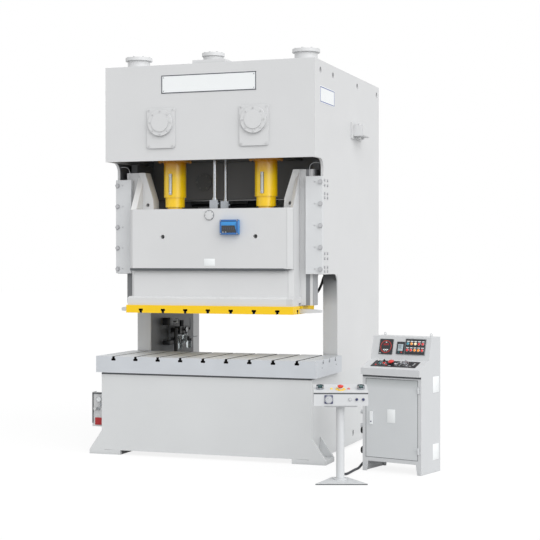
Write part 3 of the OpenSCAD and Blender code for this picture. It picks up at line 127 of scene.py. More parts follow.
@dataclass(frozen=True)
class Finish:
    """One surface finish of the press, with the name of a material slot.

    Sizes of grain are in repeats per metre, edges in millimetres, and the amount of lighter edge, partly rubbed paint
    and partly a painted highlight, is a share of one.
    """

    name: str
    colour: Colour
    slot: str = "machine_grey"
    roughness: float = 0.42
    grain_scale: float = 260.0
    relief: float = 0.12
    mottle: float = 0.03
    cloud_scale: float = 2.2
    # The lighter tone of edges and how much of it shows: partly rubbed paint, partly a painted highlight along edges.
    wear_and_highlight_tone: Colour = (232, 233, 234)
    wear: float = 0.5
    edge: float = 4.0
    # How strongly and how far corners and hollows are darkened: a painted shade.
    crevice: float = 0.35
    reach: float = 0.05
    coat: float = 0.0
    metallic: float = 0.0
    grain: Grain = Grain.SPRAYED
    clear: float = 0.0
    glow: float = 0.0
    zones: tuple[ShadeZone, ...] = ()


class Graph:
    """A node tree with short calls for nodes and links."""

    def __init__(self, tree: bpy.types.NodeTree) -> None:
        self.tree = tree

    def feed(self, socket: Socket, value: object) -> None:
        """Joins an input to an output, or sets it to a plain value."""
        if isinstance(value, Socket):
            self.tree.links.new(value, socket)
        else:
            socket.default_value = value

    def add(self, kind: str, inputs: dict | None = None, **settings: object) -> bpy.types.Node:
        """Adds a shader node.

        Args:
            kind: The node's type name, without its prefix.
            inputs: What its inputs are fed, by name or number.
            settings: Properties of the node.

        Returns:
            The new node.
        """
        node = self.tree.nodes.new(f"ShaderNode{kind}")
        for key, value in settings.items():
            setattr(node, key, value)
        for key, value in (inputs or {}).items():
            self.feed(node.inputs[key], value)
        return node

    def math(self, operation: str, *values: object, clamp: bool = False) -> Socket:
        """Adds a sum on up to three sockets or numbers, kept between 0 and 1 where it is clamped."""
        return self.add("Math", dict(enumerate(values)), operation=operation, use_clamp=clamp).outputs[0]

    def vector(self, operation: str, *values: object, output: str = "Vector") -> Socket:
        """Adds a sum on vectors."""
        return self.add("VectorMath", dict(enumerate(values)), operation=operation).outputs[output]

    def noise(self, where: Socket, scale: object, detail: float = 3.0) -> Socket:
        """Adds a noise with so many repeats per metre and so many finer octaves."""
        return self.add("TexNoise", {"Detail": detail, "Vector": where, "Scale": scale}).outputs["Fac"]

    def blend(self, factor: object, first: object, second: object) -> Socket:
        """Adds a mix of two colours."""
        return self.add("Mix", {0: factor, 6: first, 7: second}, data_type="RGBA", blend_type="MIX").outputs[2]


class EffectGroups:
    """The node groups that several finishes share, each built once."""

    BEND_GAIN = 5.0
    PATCH_SCALE = 14.0
    PATCH_GAIN = 1.5
    CREVICE_SHADE_POWER = 1.3
    CLOUD_GAIN = 2.4
    STRETCH = {Grain.GROUND: (1.0, 0.02, 1.0), Grain.RUBBED: (1.0, 1.0, 0.03)}
    OCTAVES = {Grain.SPRAYED: 1.0, Grain.MOULDED: 2.0}

    def __init__(self) -> None:
        self.wear = self._wear()
        self.cloud = self._cloud()
        self.zone = self._zone()
        self.relief = {grain: self._relief(grain) for grain in Grain}

    @staticmethod
    def _start(name: str, inputs: dict[str, float | None], *outputs: str) -> tuple[Graph, object, object]:
        """Makes an empty group with its sockets.

        Args:
            name: The group's name.
            inputs: The usual value of each input, or None for a vector.
            outputs: The name of each value that it gives.

        Returns:
            Its graph, what comes into it and what goes out of it.
        """
        group = bpy.data.node_groups.new(name, "ShaderNodeTree")
        for label, usual in inputs.items():
            kind = "NodeSocketVector" if usual is None else "NodeSocketFloat"
            socket = group.interface.new_socket(label, in_out="INPUT", socket_type=kind)
            if usual is not None:
                socket.default_value = usual
        for label in outputs:
            group.interface.new_socket(label, in_out="OUTPUT", socket_type="NodeSocketFloat")
        return Graph(group), group.nodes.new("NodeGroupInput").outputs, group.nodes.new("NodeGroupOutput").inputs

    def _wear(self) -> bpy.types.NodeTree:
        """Masks for rubbed edges, whose lighter tone is partly a painted highlight, and for painted shade in corners
        and hollows.
        """
        usual = {"Vector": None, "Radius": 0.004, "Reach": 0.05}
        graph, start, end = self._start("edge_wear", usual, "Edge", "CreviceShade")
        bevel = graph.add("Bevel", {"Radius": start["Radius"]}, samples=4)
        surface = graph.add("NewGeometry")
        dot = graph.vector("DOT_PRODUCT", bevel.outputs["Normal"], surface.outputs["Normal"], output="Value")
        strong = graph.math("MULTIPLY", graph.math("SUBTRACT", 1.0, dot, clamp=True), self.BEND_GAIN, clamp=True)
        broken = graph.noise(start["Vector"], self.PATCH_SCALE, 5.0)
        patches = graph.math("MULTIPLY", broken, self.PATCH_GAIN, clamp=True)
        graph.feed(end["Edge"], graph.math("MULTIPLY", strong, patches))
        # Ambient occlusion darkens corners and hollows: a painted shade.
        shade = graph.add("AmbientOcclusion", {"Distance": start["Reach"]}, samples=6, only_local=False)
        hidden = graph.math("SUBTRACT", 1.0, shade.outputs["AO"], clamp=True)
        graph.feed(end["CreviceShade"], graph.math("POWER", hidden, self.CREVICE_SHADE_POWER))
        return graph.tree

    def _cloud(self) -> bpy.types.NodeTree:
        """Slow changes of tone over a large surface, from -1 to 1."""
        graph, start, end = self._start("tone_cloud", {"Vector": None, "Scale": 2.0}, "Tone")
        slow = graph.noise(start["Vector"], start["Scale"], 4.0)
        graph.feed(end["Tone"], graph.math("MULTIPLY", graph.math("SUBTRACT", slow, 0.5), self.CLOUD_GAIN))
        return graph.tree

    def _zone(self) -> bpy.types.NodeTree:
        """A mask of one inside a box, falling to nothing at its sides."""
        labels = ("Vector", "Centre", "Half", "Sharpness")
        graph, start, end = self._start("boxed_zone", dict.fromkeys(labels), "Mask")
        away = graph.vector("ABSOLUTE", graph.vector("SUBTRACT", start["Vector"], start["Centre"]))
        steep = graph.vector("MULTIPLY", graph.vector("SUBTRACT", start["Half"], away), start["Sharpness"])
        axes = graph.add("SeparateXYZ", {"Vector": steep}).outputs
        least = graph.math("MINIMUM", axes["X"], axes["Y"])
        graph.feed(end["Mask"], graph.math("MINIMUM", least, axes["Z"], clamp=True))
        return graph.tree

    def _relief(self, grain: Grain) -> bpy.types.NodeTree:
        """The fine relief of one way of making a surface, as a height from 0 to 1."""
        graph, start, end = self._start(f"relief_{grain.value}", {"Vector": None, "Scale": 200.0}, "Height")
        where, scale = start["Vector"], start["Scale"]
        if grain in self.STRETCH:
            where = graph.add("Mapping", {"Scale": self.STRETCH[grain], "Vector": where}).outputs["Vector"]
        if grain is Grain.CAST:
            cells = graph.add("TexVoronoi", {"Vector": where, "Scale": scale}, feature="SMOOTH_F1")
            fine = graph.noise(where, graph.math("MULTIPLY", scale, 2.5), 5.0)
            height = graph.math("ADD", cells.outputs["Distance"], fine)
        else:
            height = graph.noise(where, scale, self.OCTAVES.get(grain, 4.0))
        graph.feed(end["Height"], height)
        return graph.tree


class FinishShop:
    """Makes each finish's material once and hands it out."""

    # How dark the painted shade in corners and hollows makes a colour.
    CREVICE_SHADE_DEPTH = 0.25
    ROUGH_SPREAD = 0.16
    BUMP_REACH = 0.3
    COAT_ROUGHNESS = 0.08

    def __init__(self, press: Matrix) -> None:
        self.press = press
        self.groups = EffectGroups()
        self.made: dict[str, bpy.types.Material] = {}

    def material(self, finish: Finish) -> bpy.types.Material:
        """The material of a finish, made at the first call.

        Args:
            finish: The finish.

        Returns:
            Its material.
        """
        if finish.name not in self.made:
            self.made[finish.name] = self._build(finish)
        return self.made[finish.name]

    def _build(self, finish: Finish) -> bpy.types.Material:
        """Builds the nodes of one finish."""
        material = bpy.data.materials.new(finish.name)
        material.use_nodes = True
        graph = Graph(material.node_tree)
        where = graph.add("TexCoord").outputs["Object"]

        def shared(group: bpy.types.NodeTree, **inputs: object) -> object:
            """What a shared group gives at this surface."""
            return graph.add("Group", {"Vector": where, **inputs}, node_tree=group).outputs

        plain = linear(finish.colour)
        tone = shared(self.groups.cloud, Scale=finish.cloud_scale)["Tone"]
        half = graph.math("MULTIPLY_ADD", tone, 0.5, 0.5, clamp=True)
        colour = graph.blend(half, scaled(plain, 1 - finish.mottle), scaled(plain, 1 + finish.mottle))
        # Each shade box paints shade: a darker tone inside its box.
        for zone in finish.zones:
            low, high = self.press @ Vector(zone.low), self.press @ Vector(zone.high)
            sides = {"Centre": (low + high) / 2, "Half": (high - low) / 2, "Sharpness": zone.sharpness}
            colour = graph.blend(shared(self.groups.zone, **sides)["Mask"], colour, linear(zone.tone))
        # Edges take a lighter tone, partly rubbed paint and partly a painted highlight; corners and hollows take a
        # darker tone, a painted shade.
        if finish.wear or finish.crevice:
            wear = shared(self.groups.wear, Radius=finish.edge * MM, Reach=finish.reach)
            edge = graph.math("MULTIPLY", wear["Edge"], finish.wear, clamp=True)
            crevice_shade_mask = graph.math("MULTIPLY", wear["CreviceShade"], finish.crevice, clamp=True)
            colour = graph.blend(edge, colour, linear(finish.wear_and_highlight_tone))
            colour = graph.blend(crevice_shade_mask, colour, scaled(plain, self.CREVICE_SHADE_DEPTH))
        height = shared(self.groups.relief[finish.grain], Scale=finish.grain_scale)["Height"]
        least = max(0.02, finish.roughness - self.ROUGH_SPREAD / 2)
        reach = self.BUMP_REACH / finish.grain_scale
        bump = graph.add("Bump", {"Strength": finish.relief, "Distance": reach, "Height": height})
        surface = {
            "Base Color": colour,
            "Roughness": graph.math("MULTIPLY_ADD", height, self.ROUGH_SPREAD, least),
            "Normal": bump.outputs["Normal"],
            "Metallic": finish.metallic,
            "Coat Weight": finish.coat,
            "Coat Roughness": self.COAT_ROUGHNESS,
            "Transmission Weight": finish.clear,
        }
        if finish.glow:
            surface |= {"Emission Color": colour, "Emission Strength": finish.glow}
        shader = material.node_tree.nodes["Principled BSDF"]
        for name, value in surface.items():
            graph.feed(shader.inputs[name], value)
        return material


MACHINE_GREY = (214, 215, 216)
# Darker greys for bays, throats and hollows: painted shade.
BAY_SHADE = (104, 106, 108)
DEEP_SHADE = (84, 86, 88)
paint = partial(Finish, crevice=0.45, wear=0.35)
powder = partial(Finish, roughness=0.5, grain_scale=700, relief=0.25, edge=2, reach=0.02)
metal = partial(Finish, metallic=1.0)
plastic = partial(Finish, grain=Grain.MOULDED)


def lens(name: str, colour: Colour, glow: float) -> Finish:
    """The finish of a signal lamp's cap."""
    return plastic(
        name, colour, "lamp_lens", 0.14, 200, 0.04, 0.08, 60, wear=0.0, crevice=0.2, coat=0.5, glow=glow
    )


PAINT = paint("machine_paint", MACHINE_GREY)
# The inside of the crown is painted darker: a painted shade.
PAINT_CROWN = paint(
    "machine_paint_crown", MACHINE_GREY,
    zones=(ShadeZone((-1117.0, 160.0, 2560.0), (1117.0, 2600.0, 4000.0), BAY_SHADE),),
)
# The columns' front faces below the throat, darker towards the top, a band under the throat, their inner faces and the
# crown bay are painted darker: painted shade.
PAINT_COLUMN = paint(
    "machine_paint_column", MACHINE_GREY, zones=(
        ShadeZone((-1160.0, 900.0, 1000.0), (1160.0, 926.0, 1876.0), (196, 198, 200)),
        ShadeZone((-1141.0, 900.0, 1540.0), (1141.0, 926.0, 2400.0), DEEP_SHADE, rise=350.0),
        ShadeZone((-1141.0, 770.0, 1790.0), (1141.0, 912.0, 1884.0), (74, 76, 78), 5.0),
        ShadeZone((-1000.0, 928.0, 800.0), (1000.0, 2700.0, 2680.0), (88, 90, 92)),
        ShadeZone((-1124.0, 160.0, 2560.0), (1124.0, 2600.0, 4000.0), BAY_SHADE),
    ),
)
# The slide's right chamfer and the front faces of its rails are painted darker: painted shade.
PAINT_SLIDE = Finish(
    "machine_paint_slide", MACHINE_GREY, crevice=0.25, wear=0.35, zones=(
        ShadeZone((836.0, 100.0, 1560.0), (902.0, 240.0, 2542.0), (204, 205, 206), 5.0),
        ShadeZone((956.0, 420.0, 1540.0), (1003.0, 640.0, 2960.0), (132, 134, 137), 2.0),
        ShadeZone((1030.0, 420.0, 1540.0), (1047.0, 640.0, 2960.0), (158, 160, 163), 2.0),
        ShadeZone((-1050.0, 420.0, 1570.0), (-966.0, 640.0, 1890.0), (126, 128, 131), 8.0),
    ),
)
# The inside of the base is painted in a deep tone: a painted shade.
PAINT_BASE = paint(
    "machine_paint_base", (212, 214, 215), zones=(ShadeZone((-1112.0, 66.0, -10.0), (1112.0, 2560.0, 838.0), DEEP_SHADE),)
)
# The bolt heads are darkened strongly round their feet, a painted shade, and the flange bolts under the crown take a
# shaded yellow, also painted shade.
PAINT_BOLTS = Finish(
    "painted_bolts", (188, 189, 192), roughness=0.36, crevice=0.7, wear=0.2, reach=0.02,
    zones=(ShadeZone((-800.0, 280.0, 2990.0), (800.0, 720.0, 3110.0), (190, 128, 34)),),
)
# The gear housing is painted dark grey and its underside darker still: painted shade inside the crown.
PAINT_INSIDE_SHADED = Finish(
    "machine_paint_inside_shaded", (118, 119, 121), roughness=0.5, crevice=0.6, wear=0.0,
    zones=(ShadeZone((-1100.0, 980.0, 2600.0), (1100.0, 2300.0, 2682.0), (44, 45, 47), 3.0),),
)
PAINT_DESK = powder("desk_powder_coat", (206, 208, 210))
# The door's top under the desk's lip is painted darker: a painted shadow.
PAINT_DOOR = powder(
    "door_powder_coat", (210, 213, 215),
    zones=(ShadeZone((1000.0, -2000.0, 800.0), (3000.0, 2000.0, 1400.0), (150, 156, 156), 150.0),),
)
PAINT_STAND = powder("stand_powder_coat", (209, 211, 213))
PAINT_MOTOR = Finish("motor_enamel", (74, 104, 122), roughness=0.4, wear_and_highlight_tone=(120, 130, 138))
GUIDE_GREY = Finish("guide_plate_paint", (215, 217, 219), wear=0.4)
# The plunger guides under the crown take a shaded copy of the yellow: painted shade.
GUIDE_YELLOW_SHADED = Finish(
    "guide_yellow_shaded", (196, 136, 26), roughness=0.34, coat=0.3, wear_and_highlight_tone=(226, 184, 90), wear=0.25, crevice=0.4
)
# The plungers' upper ends are painted orange-brown: a painted shadow under the crown.
YELLOW = Finish(
    "safety_yellow", (253, 208, 8), "safety_yellow", 0.26, coat=0.5, wear_and_highlight_tone=(252, 224, 90), wear=0.3, crevice=0.25,
    zones=(ShadeZone((-1100.0, 0.0, 2890.0), (1100.0, 1000.0, 3600.0), (192, 124, 14), 170.0),),
)
YELLOW_PLATE = Finish(
    "ram_plate_yellow", (247, 203, 6), roughness=0.45, wear_and_highlight_tone=(236, 206, 96), wear=0.4, crevice=0.3
)
# Dark lines: real joints and gaskets, and some strips that are painted shadows.
DARK_LINE = Finish("dark_line", (84, 87, 90), "cast_dark", 0.6, wear=0.0, crevice=0.0)
WHITE = Finish(
    "plate_enamel", (240, 243, 244), "plate_white", 0.3, 300, 0.03, 0.015, 8, (250, 250, 250), 0.3, 1.5, 0.2, 0.01
)
RED_PLATE = Finish("red_plate", (176, 36, 40), "stop_red", 0.4, 300, 0.08, 0.08, 15, (210, 110, 110), 0.4, 1.5)
BAR_STEEL = Finish(
    "ejector_bar", (212, 214, 217), "ground_steel", 0.34, 420, 0.1, 0.06, 6.0, wear=0.3, metallic=0.35,
    grain=Grain.GROUND,
)
DARK_STEEL = Finish(
    "dark_steel", (92, 95, 99), "cast_dark", 0.4, 500, 0.1, 0.1, 20.0, wear=0.4, crevice=0.4, metallic=0.6,
    grain=Grain.CAST,
)
TABLE_STEEL = Finish(
    "ground_table", (200, 204, 209), "ground_steel", 0.42, 520, 0.1, 0.07, 3.0, wear=0.6, crevice=0.5, metallic=0.1,
    grain=Grain.GROUND,
)
CAST = Finish(
    "cast_iron", (78, 81, 84), "cast_dark", 0.6, 220, 0.35, 0.12, 4.0, (150, 152, 154), 0.6, metallic=0.35,
    grain=Grain.CAST,
)
STEEL = metal("ground_steel", (176, 178, 180), "ground_steel", 0.3, 420, 0.12, 0.08, 6.0, wear=0.3, grain=Grain.GROUND)
BRONZE = metal("oiled_bronze", (168, 118, 62), "bronze", 0.35, 400, 0.1, 0.1, 9.0, (214, 170, 110), grain=Grain.GROUND)
DULL_CHROME = metal(
    "dull_chrome", (176, 180, 185), "bright_steel", 0.26, 500, 0.03, 0.04, 9.0, wear=0.0, crevice=0.3,
    grain=Grain.RUBBED,
)
CHROME = metal(
    "hard_chrome", (206, 208, 212), "bright_steel", 0.2, 500, 0.02, 0.0, 9.0, wear=0.0, crevice=0.0,
    grain=Grain.RUBBED,
)
ZINC = metal(
    "zinc_bolts", (160, 164, 168), "zinc_bolts", 0.34, 500, 0.08, 0.1, 20.0, crevice=0.5, reach=0.02, grain=Grain.CAST
)
BLACK = plastic(
    "black_plastic", (30, 31, 33), "black_plastic", 0.42, 900, 0.18, 0.12, 30, (88, 90, 92), 0.3, 1.2, 0.3, 0.02
)
PANEL_BLACK = plastic(
    "panel_lacquer", (40, 42, 45), "black_plastic", 0.36, 900, 0.1, 0.1, 20, (96, 98, 100), 0.4, 1.5, 0.3, 0.02
)
RUBBER = plastic("belt_rubber", (34, 34, 35), "black_plastic", 0.7, 600, 0.3, 0.15, 15, (70, 70, 70), 0.4)
# Near-black sheets inside the T-slots: a painted shade.
SLOT_SHADE = plastic("slot_painted_shade", (17, 17, 18), "ground_steel", 0.55, 300, 0.2, 0.2, 12, wear=0.0, crevice=0.0)
RIM_DARK = plastic(
    "plate_rim", (70, 74, 84), "cast_dark", 0.35, 500, 0.05, 0.08, 10, (140, 144, 150), 0.4, 1.0, 0.2, 0.01,
    metallic=0.2,
)
RIM_BLUE = plastic(
    "plate_rim_blue", (70, 92, 160), "button_navy", 0.35, 500, 0.05, 0.06, 10, (130, 145, 190), 0.3, 1.0, 0.2, 0.01
)
RIM_COUNTER = plastic(
    "counter_rim", (44, 104, 170), "counter_blue", 0.3, 500, 0.06, 0.04, 10, (110, 160, 210), 0.4, 2, 0.4, 0.03, 0.3
)
BLUE = plastic(
    "counter_blue", (52, 146, 216), "counter_blue", 0.28, 500, 0.06, 0.04, 10, (130, 190, 232), 0.6, 3, 0.4, 0.03, 0.3
)
SMOKED = plastic(
    "counter_window", (38, 42, 44), "black_plastic", 0.12, 60, 0.05, 0.25, 90, wear=0.0, crevice=0.2, coat=0.6
)
RED = plastic(
    "stop_red", (214, 52, 46), "stop_red", 0.26, 400, 0.04, 0.05, 20, (236, 120, 110), 0.3, 1.5, 0.3, 0.015, 0.4
)
TEAL = plastic(
    "start_teal", (20, 112, 116), "start_teal", 0.28, 400, 0.04, 0.06, 20, (110, 170, 172), 0.3, 1.5, 0.3, 0.015, 0.3
)
PALM_TEAL = plastic(
    "palm_teal", (44, 84, 86), "start_teal", 0.22, 400, 0.04, 0.06, 20, (110, 150, 150), 0.3, 1.5, 0.3, 0.015, 0.5
)
NAVY = plastic(
    "button_navy", (38, 42, 92), "button_navy", 0.3, 400, 0.05, 0.08, 20, (100, 104, 140), 0.4, 1.5, 0.3, 0.015, 0.2
)
HOSE = plastic(
    "hose_rubber", (24, 24, 26), "black_plastic", 0.4, 700, 0.12, 0.1, 20, (70, 70, 74), 0.2, 1.5, 0.2, 0.02
)
CORD_SKIN = plastic(
    "cord_jacket", (46, 48, 56), "cord_grey", 0.46, 900, 0.2, 0.1, 20, (90, 90, 96), 0.2, 1.5, 0.2, 0.02
)
BOWL = plastic(
    "clear_bowl", (222, 230, 232), "clear_bowl", 0.06, 60, 0.02, 0.02, 10, wear=0.0, crevice=0.0, clear=0.85
)
GLASS = plastic(
    "sight_glass", (236, 238, 228), "oil_glass", 0.08, 60, 0.02, 0.02, 10, wear=0.0, crevice=0.0, clear=0.4
)
SCREEN = plastic(
    "display_grey", (176, 190, 196), "clear_bowl", 0.2, 90, 0.03, 0.06, 30, wear=0.0, crevice=0.2, glow=0.12
)
DIGITS = plastic("display_red", (206, 36, 40), "lamp_lens", 0.25, 90, 0.03, 0.1, 60, wear=0.0, crevice=0.1, glow=0.35)
LENS_RED = lens("lens_red", (216, 38, 36), 0.18)
LENS_ORANGE = lens("lens_orange", (250, 150, 28), 0.25)
LENS_TEAL = lens("lens_teal", (28, 140, 160), 0.2)
LENS_CREAM = lens("lens_cream", (250, 226, 176), 0.3)
LENS_YELLOW = lens("lens_yellow", (240, 206, 60), 0.2)


# --- modelling -------------------------------------------------------------------


class Solid:
    """Closed shapes built in millimetres and placed in the shared frame at the end."""

    SHARP_ANGLE = 35.0
    MERGE_DISTANCE = 0.001

    def __init__(self) -> None:
        self.mesh = bmesh.new()

    def _soften(self, verts: Iterable[bmesh.types.BMVert], edge: float, segments: int) -> None:
        """Rounds every edge of some new vertices."""
        if edge > 0:
            edges = list({e for v in verts for e in v.link_edges})
            bmesh.ops.bevel(
                self.mesh, geom=edges, offset=edge, offset_type="OFFSET", segments=segments,
                profile=0.5, affect="EDGES", material=-1, clamp_overlap=True,
            )

    def block(self, centre: Point, size: Point, edge: float = 1.0, segments: int = 2, where: Matrix = HERE) -> Solid:
        """Adds a bar with rounded edges.

        Args:
            centre: Its middle.
            size: Its three lengths.
            edge: The radius of its edges.
            segments: The number of steps round an edge.
            where: The frame that it is drawn in.

        Returns:
            This solid.
        """
        place = where @ Matrix.Translation(centre) @ Matrix.Diagonal((*size, 1.0))
        made = bmesh.ops.create_cube(self.mesh, size=1.0, matrix=place)
        self._soften(made["verts"], edge, segments)
        return self

    def rim(self, centre: Point, size: Point, bar: float, edge: float = 0.4, segments: int = 2) -> Solid:
        """Adds the four bars of a rectangular rim, which lies flat along the shortest of its three lengths."""
        flat = size.index(min(size))
        across, up = (axis for axis in range(3) if axis != flat)
        for axis, side in product((up, across), (1, -1)):
            middle, lengths = list(centre), list(size)
            middle[axis] += side * (size[axis] - bar) / 2
            lengths[axis] = bar
            self.block(middle, lengths, edge, segments)
        return self

    def prism(self, outline: Sequence[Pair], depth: float, where: Matrix, edge: float = 0.0) -> Solid:
        """Adds an outline drawn in x and y and thickened along z.

        Args:
            outline: Its corners in order.
            depth: Its thickness.
            where: Where the outline's plane lies.
            edge: The radius of its edges.

        Returns:
            This solid.
        """
        corners = [self.mesh.verts.new(where @ Vector((x, y, 0))) for x, y in outline]
        grown = bmesh.ops.extrude_face_region(self.mesh, geom=[self.mesh.faces.new(corners)])
        moved = [g for g in grown["geom"] if isinstance(g, bmesh.types.BMVert)]
        bmesh.ops.translate(self.mesh, verts=moved, vec=where.to_3x3() @ Vector((0, 0, depth)))
        self._soften(corners + moved, edge, 2)
        return self

    def lathe(
        self, profile: Sequence[Pair], where: Matrix = HERE, steps: int = 32, start: float = 0.0, sweep: float = 360.0
    ) -> Solid:
        """Adds a profile turned about z.

        Args:
            profile: Radius and height of each corner, a closed ring, or from the axis back to the axis.
            where: Where the axis stands.
            steps: The number of steps of the turn.
            start: The angle at which a part turn begins.
            sweep: The angle of the turn, 360 for a full one.

        Returns:
            This solid.
        """
        before = set(self.mesh.verts)
        first = turn("Z", start)
        verts = [self.mesh.verts.new(first @ Vector((r, 0, z))) for r, z in profile]
        hollow = min(r for r, _ in profile) > 0
        pairs = list(zip(verts, verts[1:])) + ([(verts[-1], verts[0])] if hollow else [])
        geom = [self.mesh.edges.new(p) for p in pairs]
        full = sweep >= 360
        if not full:
            geom = [self.mesh.faces.new(verts)]
        bmesh.ops.spin(
            self.mesh, geom=geom, cent=(0, 0, 0), axis=(0, 0, 1), angle=math.radians(sweep), steps=steps,
            use_merge=full, use_duplicate=False,
        )
        made = [v for v in self.mesh.verts if v not in before]
        bmesh.ops.remove_doubles(self.mesh, verts=made, dist=self.MERGE_DISTANCE)
        made = [v for v in self.mesh.verts if v not in before]
        bmesh.ops.transform(self.mesh, matrix=where, verts=made)
        return self

    def build(self, name: str, place: Matrix) -> bpy.types.Object:
        """Makes the object, with its place in its mesh.

        Args:
            name: The piece's name.
            place: The frame that the shapes were drawn in.

        Returns:
            The new object.
        """
        bmesh.ops.transform(self.mesh, matrix=place, verts=self.mesh.verts)
        bmesh.ops.recalc_face_normals(self.mesh, faces=self.mesh.faces)
        data = bpy.data.meshes.new(name)
        self.mesh.to_mesh(data)
        self.mesh.free()
        data.polygons.foreach_set("use_smooth", [True] * len(data.polygons))
        data.set_sharp_from_angle(angle=math.radians(self.SHARP_ANGLE))
        return add_object(name, data)


def add_object(name: str, data: bpy.types.ID) -> bpy.types.Object:
    """Makes an object and puts it into the scene."""
    made = bpy.data.objects.new(name, data)
    bpy.context.scene.collection.objects.link(made)
    return made


def facing(x: float, y: float, z: float) -> Matrix:
    """A place whose height points to the front."""
    return shift(x, y, z) @ FORWARD


def slant(run: float, rise: float) -> Matrix:
    """The tilt of a panel that climbs by the rise over the run."""
    return turn("X", math.degrees(math.atan2(rise, run)))


def disc(radius: float, height: float, edge: float, base: float = 0.0) -> list[Pair]:
    """The profile of a round plate with a rounded upper edge.

    Args:
        radius: Its radius.
        height: Its thickness.
        edge: The radius of its upper edge.
        base: The height of its underside.

    Returns:
        Radius and height of each corner, from axis to axis.
    """
    top = base + height
    angles = (math.pi / 6 * i for i in range(4))
    bend = [(radius - edge + edge * math.cos(a), top - edge + edge * math.sin(a)) for a in angles]
    return [(0.0, base), (radius, base), *bend, (0.0, top)]


def ring(inner: float, outer: float, height: float, base: float = 0.0, edge: float = 0.8) -> list[Pair]:
    """The profile of a washer with chamfered upper edges."""
    top = base + height
    low = [(inner, base), (outer, base), (outer, top - edge)]
    return [*low, (outer - edge, top), (inner + edge, top), (inner, top - edge)]


def dome(radius: float, rise: float, base: float, collar: float = 0.0) -> list[Pair]:
    """The profile of a domed cap on a short collar."""
    angles = (math.pi / 12 * i for i in range(6))
    bend = [(radius * math.cos(a), base + collar + rise * math.sin(a)) for a in angles]
    return [(0.0, base), (radius, base), *bend, (0.0, base + collar + rise)]


T_NECK: Pair = (28.0, 22.0)
T_HEAD: Pair = (48.0, 22.0)
T_PITCH = 250.0


def slot_outline(wall: float = 1.0) -> list[Pair]:
    """The section of a thin dark lining inside a T-slot, a painted shade, with its mouth at y = 0 and the slot below.
    """
    (nw, nh), (hw, hh) = T_NECK, T_HEAD
    outer = [(-nw / 2, -1.0), (-nw / 2, -nh), (-hw / 2, -nh), (-hw / 2, -nh - hh)]
    drops = (-1.0, -nh - wall, -nh - wall, -nh - hh + wall)
    inner = [(x + wall, y) for (x, _), y in zip(outer, drops)]
    return outer + [(-x, y) for x, y in reversed(outer)] + [(-x, y) for x, y in inner] + inner[::-1]


def slot_row(count: int, front: float, height: float, depth: float, mouth: int) -> Solid:
    """The dark linings of a row of T-slots that run back from a front face, which paint the shade inside them.

    Args:
        count: The number of slots.
        front: Where the face lies along y.
        height: Where the slots' mouths lie along z.
        depth: The length of a slot.
        mouth: 1 where the slots open upwards, -1 where they open downwards.

    Returns:
        All the linings.
    """
    solid = Solid()
    for i in range(count):
        place = facing((i - (count - 1) / 2) * T_PITCH, front + 1.0, height) @ Matrix.Diagonal((1, mouth, -1, 1))
        solid.prism(slot_outline(), depth - 2.0, place)
    return solid


@dataclass
class Layout:
    """The frames that the press, its desk and its stand are drawn in, in millimetres."""

    desk_at: Point = (2061.0, -13.0, 0.0)
    desk_turn: float = -15.0
    lip: Point = (0.0, -233.0, 990.0)
    slope: Pair = (190.0, 75.0)
    back: Pair = (60.0, 222.0)
    stand_at: Point = (1676.0, -790.0, 0.0)
    stand_turn: float = 19.0
    stand_front: float = -120.0
    stand_heights: Point = (700.0, 821.0, 873.0)
    press: Matrix = field(init=False)
    desk: Matrix = field(init=False)
    desk_slope: Matrix = field(init=False)
    desk_back: Matrix = field(init=False)
    stand: Matrix = field(init=False)
    stand_lid: Matrix = field(init=False)
    stand_face: Matrix = field(init=False)

    def __post_init__(self) -> None:
        """Works the frames out from the bolster's box and the sizes above."""
        low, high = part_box("bolster")
        middle = Vector(((low.x + high.x) / 2, low.y, 0))
        self.press = Matrix.Translation(middle) @ Matrix.Scale(MM, 4)
        self.desk = self.press @ shift(*self.desk_at) @ turn("Z", self.desk_turn)
        self.desk_slope = self.desk @ shift(*self.lip) @ slant(*self.slope)
        foot = shift(0, self.lip[1] + self.slope[0], self.lip[2] + self.slope[1])
        self.desk_back = self.desk @ foot @ slant(*self.back)
        self.stand = self.press @ shift(*self.stand_at) @ turn("Z", self.stand_turn)
        bottom, front, rear = self.stand_heights
        lid = shift(0, self.stand_front, front) @ slant(-2 * self.stand_front, rear - front)
        self.stand_lid = self.stand @ lid
        self.stand_face = self.stand @ facing(0, self.stand_front, bottom)

    def at(self, x: float, y: float, z: float) -> Vector:
        """A point of the press in the shared frame."""
        return self.press @ Vector((x, y, z))


